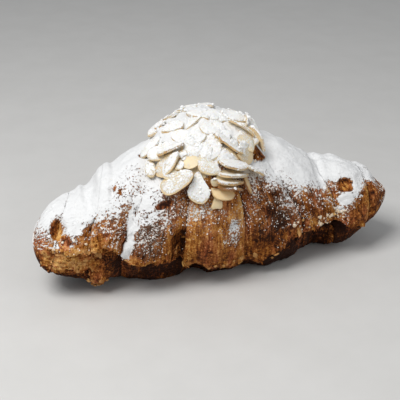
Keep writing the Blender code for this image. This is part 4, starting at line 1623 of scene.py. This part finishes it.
@dataclass
class CrustFlakes:
    """Thin curled leaves of crust on the rims, the ledge and the crumbly left end, in one piece."""

    crust: Crust
    fall: SugarFall = field(default_factory=SugarFall)
    seed: int = 17
    rim_leaves: FlakeKind = FlakeKind(
        count=90, lifted=(3, 14), length=millimetres(1.6, 3.6), width=millimetres(1.6, 5.0),
        paler=(-0.1, 0.2),
    )
    rim_windings: Range = (58, 128)
    behind_rim: Range = millimetres(0.3, 3.5)
    rim_spread: float = 22
    ledge_leaves: FlakeKind = FlakeKind(
        count=110, lifted=(1, 14), length=millimetres(1.4, 3.4), width=millimetres(1.2, 3.4),
        paler=(-0.05, 0.3),
    )
    ledge_ends: Range = millimetres(-80, 78)
    above_ledge: Range = (-2, 7)
    ledge_spread: float = 24
    end_leaves: FlakeKind = FlakeKind(
        count=150, lifted=(0, 26), length=millimetres(0.9, 2.4), width=millimetres(0.8, 2.0),
        paler=(-0.2, 0.3),
    )
    left_end: Range = millimetres(-81, -52)
    end_windings: Range = (74, 130)
    thickness: float = 0.22 * MM
    unit_thickness: float = 0.1
    curl: float = 0.35
    narrowing: float = 0.55
    raggedness: float = 0.5
    waviness: float = 0.25 * MM
    rooted: float = 0.35
    sunk: float = 0.05 * MM
    crumbly: float = 0.3
    edge_tone: float = 0.25
    rounding_angle: float = math.radians(50)
    clear: Patch = Patch(-42.5 * MM, 82, 7.5 * MM, 32, 1)
    most_sugar: float = 0.34

    def places(self) -> list[Flake]:
        """Where the leaves stand."""
        draw = random.Random(self.seed)
        roll = self.crust.surface.roll
        found = list(PLACED_FLAKES)
        for _ in range(self.rim_leaves.count):
            horn = draw.choice((LEFT_HORN, RIGHT_HORN))
            winding = draw.uniform(*self.rim_windings)
            out = roll.edge_at(horn, draw.randrange(0, 3), winding) - roll.wandering(horn, winding)
            x = horn.sign * (out - draw.uniform(*self.behind_rim))
            if self.clear.share(x, winding) > 0:
                continue
            heading = draw.gauss(90 - 90 * horn.sign, self.rim_spread)
            found.append(self.rim_leaves.leaf(draw, x, winding, heading))
        for _ in range(self.ledge_leaves.count):
            x = draw.uniform(*self.ledge_ends)
            winding = roll.front_ledge(x)[0] - draw.uniform(*self.above_ledge)
            heading = draw.gauss(-90, self.ledge_spread)
            found.append(self.ledge_leaves.leaf(draw, x, winding, heading))
        for _ in range(self.end_leaves.count):
            x, winding = draw.uniform(*self.left_end), draw.uniform(*self.end_windings)
            found.append(self.end_leaves.leaf(draw, x, winding, draw.uniform(0, 360)))
        return found

    def build(self) -> bpy.types.Object:
        """Builds the leaves as one piece, with their tones, sugar and streaks.

        Returns:
            The piece.
        """
        deselect_all()
        bpy.ops.mesh.primitive_grid_add(x_subdivisions=4, y_subdivisions=3, size=1)
        piece = bpy.context.active_object
        piece.name = "crust_flakes"
        leaf = piece.modifiers.new("leaf", "SOLIDIFY")
        leaf.thickness = self.unit_thickness
        bpy.ops.object.modifier_apply(modifier="leaf")
        unit = [vertex.co.copy() for vertex in piece.data.vertices]
        faces = np.array([face.vertices for face in piece.data.polygons])
        draw = random.Random(self.seed + 1)
        points: list[Vector] = []
        tones: list[float] = []
        dust: list[float] = []
        corners = []
        for place in self.places():
            facing = self.crust.surface.normal(place.x, place.winding).z
            sugar = self.fall.amount(place.x, place.winding, facing, 1.0, 0.0)
            if sugar > self.most_sugar:
                continue
            corners.append(faces + len(points))
            seed = draw.uniform(0, 90)
            frame_of = self.pose(place)
            # the leaf takes the crust's tone at its place, painted shade and highlights included
            tone = self.crust.browning_and_painted_light(place.x, place.winding) - place.paler
            for corner in unit:
                point = frame_of @ self.bend(corner, place, seed)
                point.z = max(0.0, point.z)
                points.append(point)
                tones.append(min(1.0, max(0.0, tone + self.edge_tone * abs(corner.y))))
                dust.append(sugar if corner.z > 0 else 0.0)
        mesh = bpy.data.meshes.new("crust_flakes")
        mesh.from_pydata(points, [], np.concatenate(corners).tolist())
        piece.data = mesh
        write_attribute(mesh, "browning_and_painted_light", tones)
        write_attribute(mesh, "sugar", dust)
        write_attribute(mesh, "crumbly", [self.crumbly] * len(points))
        write_uv(mesh, "streaks", [point.xz * 100 for point in points])
        select_only(piece)
        bpy.ops.object.shade_smooth_by_angle(angle=self.rounding_angle)
        return piece

    def bend(self, corner: Vector, place: Flake, seed: float) -> Vector:
        """A point of the unit leaf at its true size, ragged, curled and lifted at its free end."""
        along = corner.x + 0.5
        ragged = 1 + self.raggedness * noise_at(corner.x * 2.2, corner.y * 2.2, seed)
        length = along * place.length * mix(1.0, ragged, along)
        width = corner.y * place.width * ragged * mix(1.0, self.narrowing, along * along)
        rise = length * math.tan(math.radians(place.lifted)) * along
        rise -= self.curl * place.width * corner.y * corner.y
        wave = self.waviness * noise_at(corner.x * 3, corner.y * 3, seed + 5)
        rise += wave + corner.z / self.unit_thickness * self.thickness
        return Vector((length - self.rooted * place.length, width, rise))

    def pose(self, place: Flake) -> Matrix:
        """The matrix that lays a leaf at its place: its free end along X, its face towards Z."""
        surface = self.crust.surface
        normal = surface.normal(place.x, place.winding)
        point = surface.point(place.x, place.winding, 0) - normal * self.sunk
        turned = Matrix.Rotation(math.radians(place.heading), 4, "Z")
        return Matrix.Translation(point) @ axes_on(normal, Vector((1, 0, 0))) @ turned


@dataclass(frozen=True)
class Scatter:
    """Small loose things of one kind on the crust or the almonds, in one piece."""

    name: str
    size: Range
    flatness: float
    seed: int
    finish: PlainFinish
    stretch: Range = (0.7, 1.3)
    jitter: Range = (0.8, 1.2)

    def build(self, spots: list[Spot]) -> bpy.types.Object:
        """Puts one thing at each spot.

        Args:
            spots: The points and normals where the things lie.

        Returns:
            The piece.
        """
        draw = random.Random(self.seed)
        deselect_all()
        bpy.ops.mesh.primitive_ico_sphere_add(subdivisions=1, radius=0.5)
        piece = bpy.context.active_object
        piece.name = self.name
        unit = np.array([vertex.co for vertex in piece.data.vertices])
        faces = np.array([face.vertices for face in piece.data.polygons])
        points, corners = [], []
        smallest, largest = self.size
        for number, (spot, normal) in enumerate(spots):
            size = draw.triangular(smallest, largest, smallest)
            turn = Matrix.Rotation(draw.uniform(0, 6.28), 3, "Z")
            turn = normal.to_track_quat("Z", "Y").to_matrix() @ turn
            wide, deep = draw.uniform(*self.stretch), draw.uniform(*self.stretch)
            scale = np.array([wide, deep, self.flatness]) * size
            jitter = np.array([[draw.uniform(*self.jitter)] for _ in unit])
            points.append(unit * jitter * scale @ np.array(turn.transposed()) + np.array(spot))
            corners.append(faces + number * len(unit))
        mesh = bpy.data.meshes.new(self.name)
        mesh.from_pydata(np.concatenate(points).tolist(), [], np.concatenate(corners).tolist())
        piece.data = mesh
        return piece


SUGAR_GRAINS = Scatter(
    "sugar_grains", millimetres(0.25, 0.75), flatness=0.6, seed=3,
    finish=PlainFinish(
        "icing_sugar", (0.84, 0.81, 0.76), (0.9, 0.87, 0.83),
        mottle_scale=900, roughness=0.95, bump=0.1 * MM,
    ),
)
SUGAR_CLUMPS = Scatter(
    "sugar_clumps", millimetres(0.7, 1.9), flatness=0.4, seed=4,
    finish=PlainFinish(
        "packed_icing_sugar", (0.85, 0.845, 0.83), (0.9, 0.9, 0.89),
        mottle_scale=900, roughness=0.95, bump=0.1 * MM,
    ),
)
PALE_CRUMBS = Scatter(
    "pale_crumbs", millimetres(0.7, 2.0), flatness=0.75, seed=8,
    finish=PlainFinish(
        "pale_crumb", (0.66, 0.47, 0.27), (0.80, 0.74, 0.64),
        mottle_scale=700, roughness=0.9, bump=0.3 * MM,
    ),
)
GOLDEN_CRUMBS = Scatter(
    "golden_crumbs", millimetres(0.8, 3.0), flatness=0.5, seed=9,
    finish=PlainFinish(
        "golden_crumb", (0.34, 0.14, 0.035), (0.56, 0.30, 0.09),
        mottle_scale=600, roughness=0.8, bump=0.3 * MM,
    ),
)
PALE_CRUMB_PATCHES = patches(
    (49.5, 84, 4.5, 6, 20),
    (56.5, 76, 3.5, 6, 16),
    (36, 92, 4, 8, 6),
    (-25.5, 111, 1.2, 3, 3),
    (-66, 74, 9, 12, 8),
    (17, 32, 4, 6, 6),
)
GOLDEN_CRUMB_PATCHES = patches(
    (-57, 138, 5, 14, 13),
    (-68, 96, 13, 26, 30),
    (-55, 86, 6, 10, 6),
    (-2, 118, 11, 6, 8),
    (42, 90, 9, 9, 12),
    (20, 120, 10, 6, 5),
)
CRUMB_LIFT = 0.3 * MM
LOWEST_CRUMB = 1.2 * MM
STRAY = 0.25 * MM
NO_SUGAR = 0.02
THIN_SUGAR = (0.12, 0.62)
THICK_SUGAR = 0.6
SELDOM = 0.03


def crumb_spots(surface: CrustSurface, places: tuple[Patch, ...], seed: int) -> list[Spot]:
    """Where crumbs lie: as many in each patch as its amount.

    Args:
        surface: The crust they lie on.
        places: Where they lie and how many there are.
        seed: The seed of the draw.

    Returns:
        The points and normals of the crumbs.
    """
    draw = random.Random(seed)
    spots = []
    for patch in places:
        for _ in range(round(patch.amount)):
            x = patch.x + draw.uniform(-1, 1) * patch.half_width
            winding = patch.winding + draw.uniform(-1, 1) * patch.half_angle
            normal = surface.normal(x, winding)
            point = surface.point(x, winding, 0) + normal * CRUMB_LIFT
            if point.z > LOWEST_CRUMB:
                spots.append((point, normal))
    return spots


def pick_spots(
    piece: bpy.types.Object, wanted: Callable[[float], float], count: int, lift: float, seed: int
) -> list[Spot]:
    """Picks vertices of a sugared piece, more often where its sugar is as wanted.

    Args:
        piece: The piece the spots lie on.
        wanted: The chance of a vertex, from its sugar.
        count: How many spots to pick.
        lift: How far above the surface the spots lie.
        seed: The seed of the draw.

    Returns:
        The points and normals of the spots.
    """
    draw = random.Random(seed)
    mesh = piece.data
    sugar = [value.value for value in mesh.attributes["sugar"].data]
    chances = [wanted(amount) for amount in sugar]
    picked = draw.choices(range(len(sugar)), weights=chances, k=count)
    spots = []
    for number in picked:
        vertex = mesh.vertices[number]
        stray = Vector((draw.gauss(0, STRAY), draw.gauss(0, STRAY), 0))
        stray -= vertex.normal * stray.dot(vertex.normal)
        spots.append((vertex.co + vertex.normal * lift + stray, vertex.normal.copy()))
    return spots


@dataclass(frozen=True)
class Studio:
    """A pale floor, soft light from the upper left, and the photograph's camera."""

    azimuth: float = -8
    elevation: float = 26
    distance: float = 0.445
    target: Point = millimetres(-6.5, 2.9, 26.5)
    lens: float = 85
    key_power: float = 3.7
    fill_power: float = 0.9
    sky: float = 0.34
    sky_colour: Colour = (0.93, 0.96, 1.0)
    key_place: Point = (-0.27, -0.2, 0.58)
    key_size: float = 0.34
    fill_place: Point = (0.5, -0.5, 0.4)
    fill_size: float = 0.6
    lit_point: Point = (0, 0, 30 * MM)
    floor_size: float = 6
    floor_drop: float = 0.02 * MM
    floor_finish: PlainFinish = PlainFinish(
        "pale_floor", (0.60, 0.59, 0.57), (0.62, 0.61, 0.59), mottle_scale=40, roughness=0.8
    )

    def build(self) -> None:
        """Makes the floor, the lights, the sky and the camera."""
        self.floor()
        self.camera()
        self.area_light("key", self.key_place, self.key_size, self.key_power)
        self.area_light("fill", self.fill_place, self.fill_size, self.fill_power)
        world = bpy.data.worlds.new("studio")
        bpy.context.scene.world = world
        world.use_nodes = True
        background = world.node_tree.nodes["Background"]
        background.inputs["Color"].default_value = (*self.sky_colour, 1)
        background.inputs["Strength"].default_value = self.sky
        bpy.context.scene.view_settings.view_transform = "Standard"

    def floor(self) -> None:
        """A wide pale floor under the pastry."""
        deselect_all()
        bpy.ops.mesh.primitive_plane_add(size=self.floor_size, location=(0, 0, -self.floor_drop))
        plane = bpy.context.active_object
        plane.name = "floor"
        plane.data.materials.append(self.floor_finish.material())

    def area_light(self, name: str, place: Point, size: float, power: float) -> None:
        """A square soft light that points at the pastry."""
        data = bpy.data.lights.new(name, "AREA")
        data.size = size
        data.energy = power
        light = bpy.data.objects.new(name, data)
        bpy.context.scene.collection.objects.link(light)
        light.location = place
        towards = Vector(self.lit_point) - light.location
        light.rotation_euler = towards.to_track_quat("-Z", "Y").to_euler()

    def camera(self) -> None:
        """The camera at the photograph's viewing angle."""
        data = bpy.data.cameras.new("camera")
        data.lens = self.lens
        camera = bpy.data.objects.new("camera", data)
        bpy.context.scene.collection.objects.link(camera)
        turn, rise = math.radians(self.azimuth), math.radians(self.elevation)
        level = math.cos(rise)
        back = Vector((math.sin(turn) * level, -math.cos(turn) * level, math.sin(rise)))
        camera.location = Vector(self.target) + back * self.distance
        camera.rotation_euler = (-back).to_track_quat("-Z", "Y").to_euler()
        bpy.context.scene.camera = camera


def grain_chance(sugar: float) -> float:
    """How likely a loose grain lies where the crust has this much sugar: most where it is thin."""
    if sugar < NO_SUGAR:
        return 0.0
    return 1.0 if THIN_SUGAR[0] < sugar < THIN_SUGAR[1] else SELDOM


def clump_chance(sugar: float) -> float:
    """How likely a clump of packed sugar lies where an almond slice has this much sugar."""
    return 1.0 if sugar > THICK_SUGAR else 0.0


def main() -> None:
    """Builds the pieces in order."""
    logging.basicConfig(level=logging.INFO, format="%(message)s")
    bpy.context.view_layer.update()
    Studio().build()
    crust = Crust()
    crust_piece = crust.build(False)
    almonds = AlmondMound()
    almond_piece = almonds.build()
    surfaces = Surfaces([crust_piece, almond_piece])
    crust.sugar(crust_piece, surfaces, SugarFall())
    almonds.sugar(almond_piece, surfaces)
    finish_piece(crust_piece, CrustFinish().material())
    finish_piece(almond_piece, AlmondFinish().material())
    finish_piece(CrustFlakes(crust).build(), CrustFinish().material())
    for scatter, spots in (
        (SUGAR_GRAINS, pick_spots(crust_piece, grain_chance, count=4000, lift=0.02 * MM, seed=5)),
        (SUGAR_CLUMPS, pick_spots(almond_piece, clump_chance, count=700, lift=0.05 * MM, seed=6)),
        (PALE_CRUMBS, crumb_spots(crust.surface, PALE_CRUMB_PATCHES, seed=12)),
        (GOLDEN_CRUMBS, crumb_spots(crust.surface, GOLDEN_CRUMB_PATCHES, seed=14)),
    ):
        finish_piece(scatter.build(spots), scatter.finish.material())


if __name__ == "__main__":
    main()
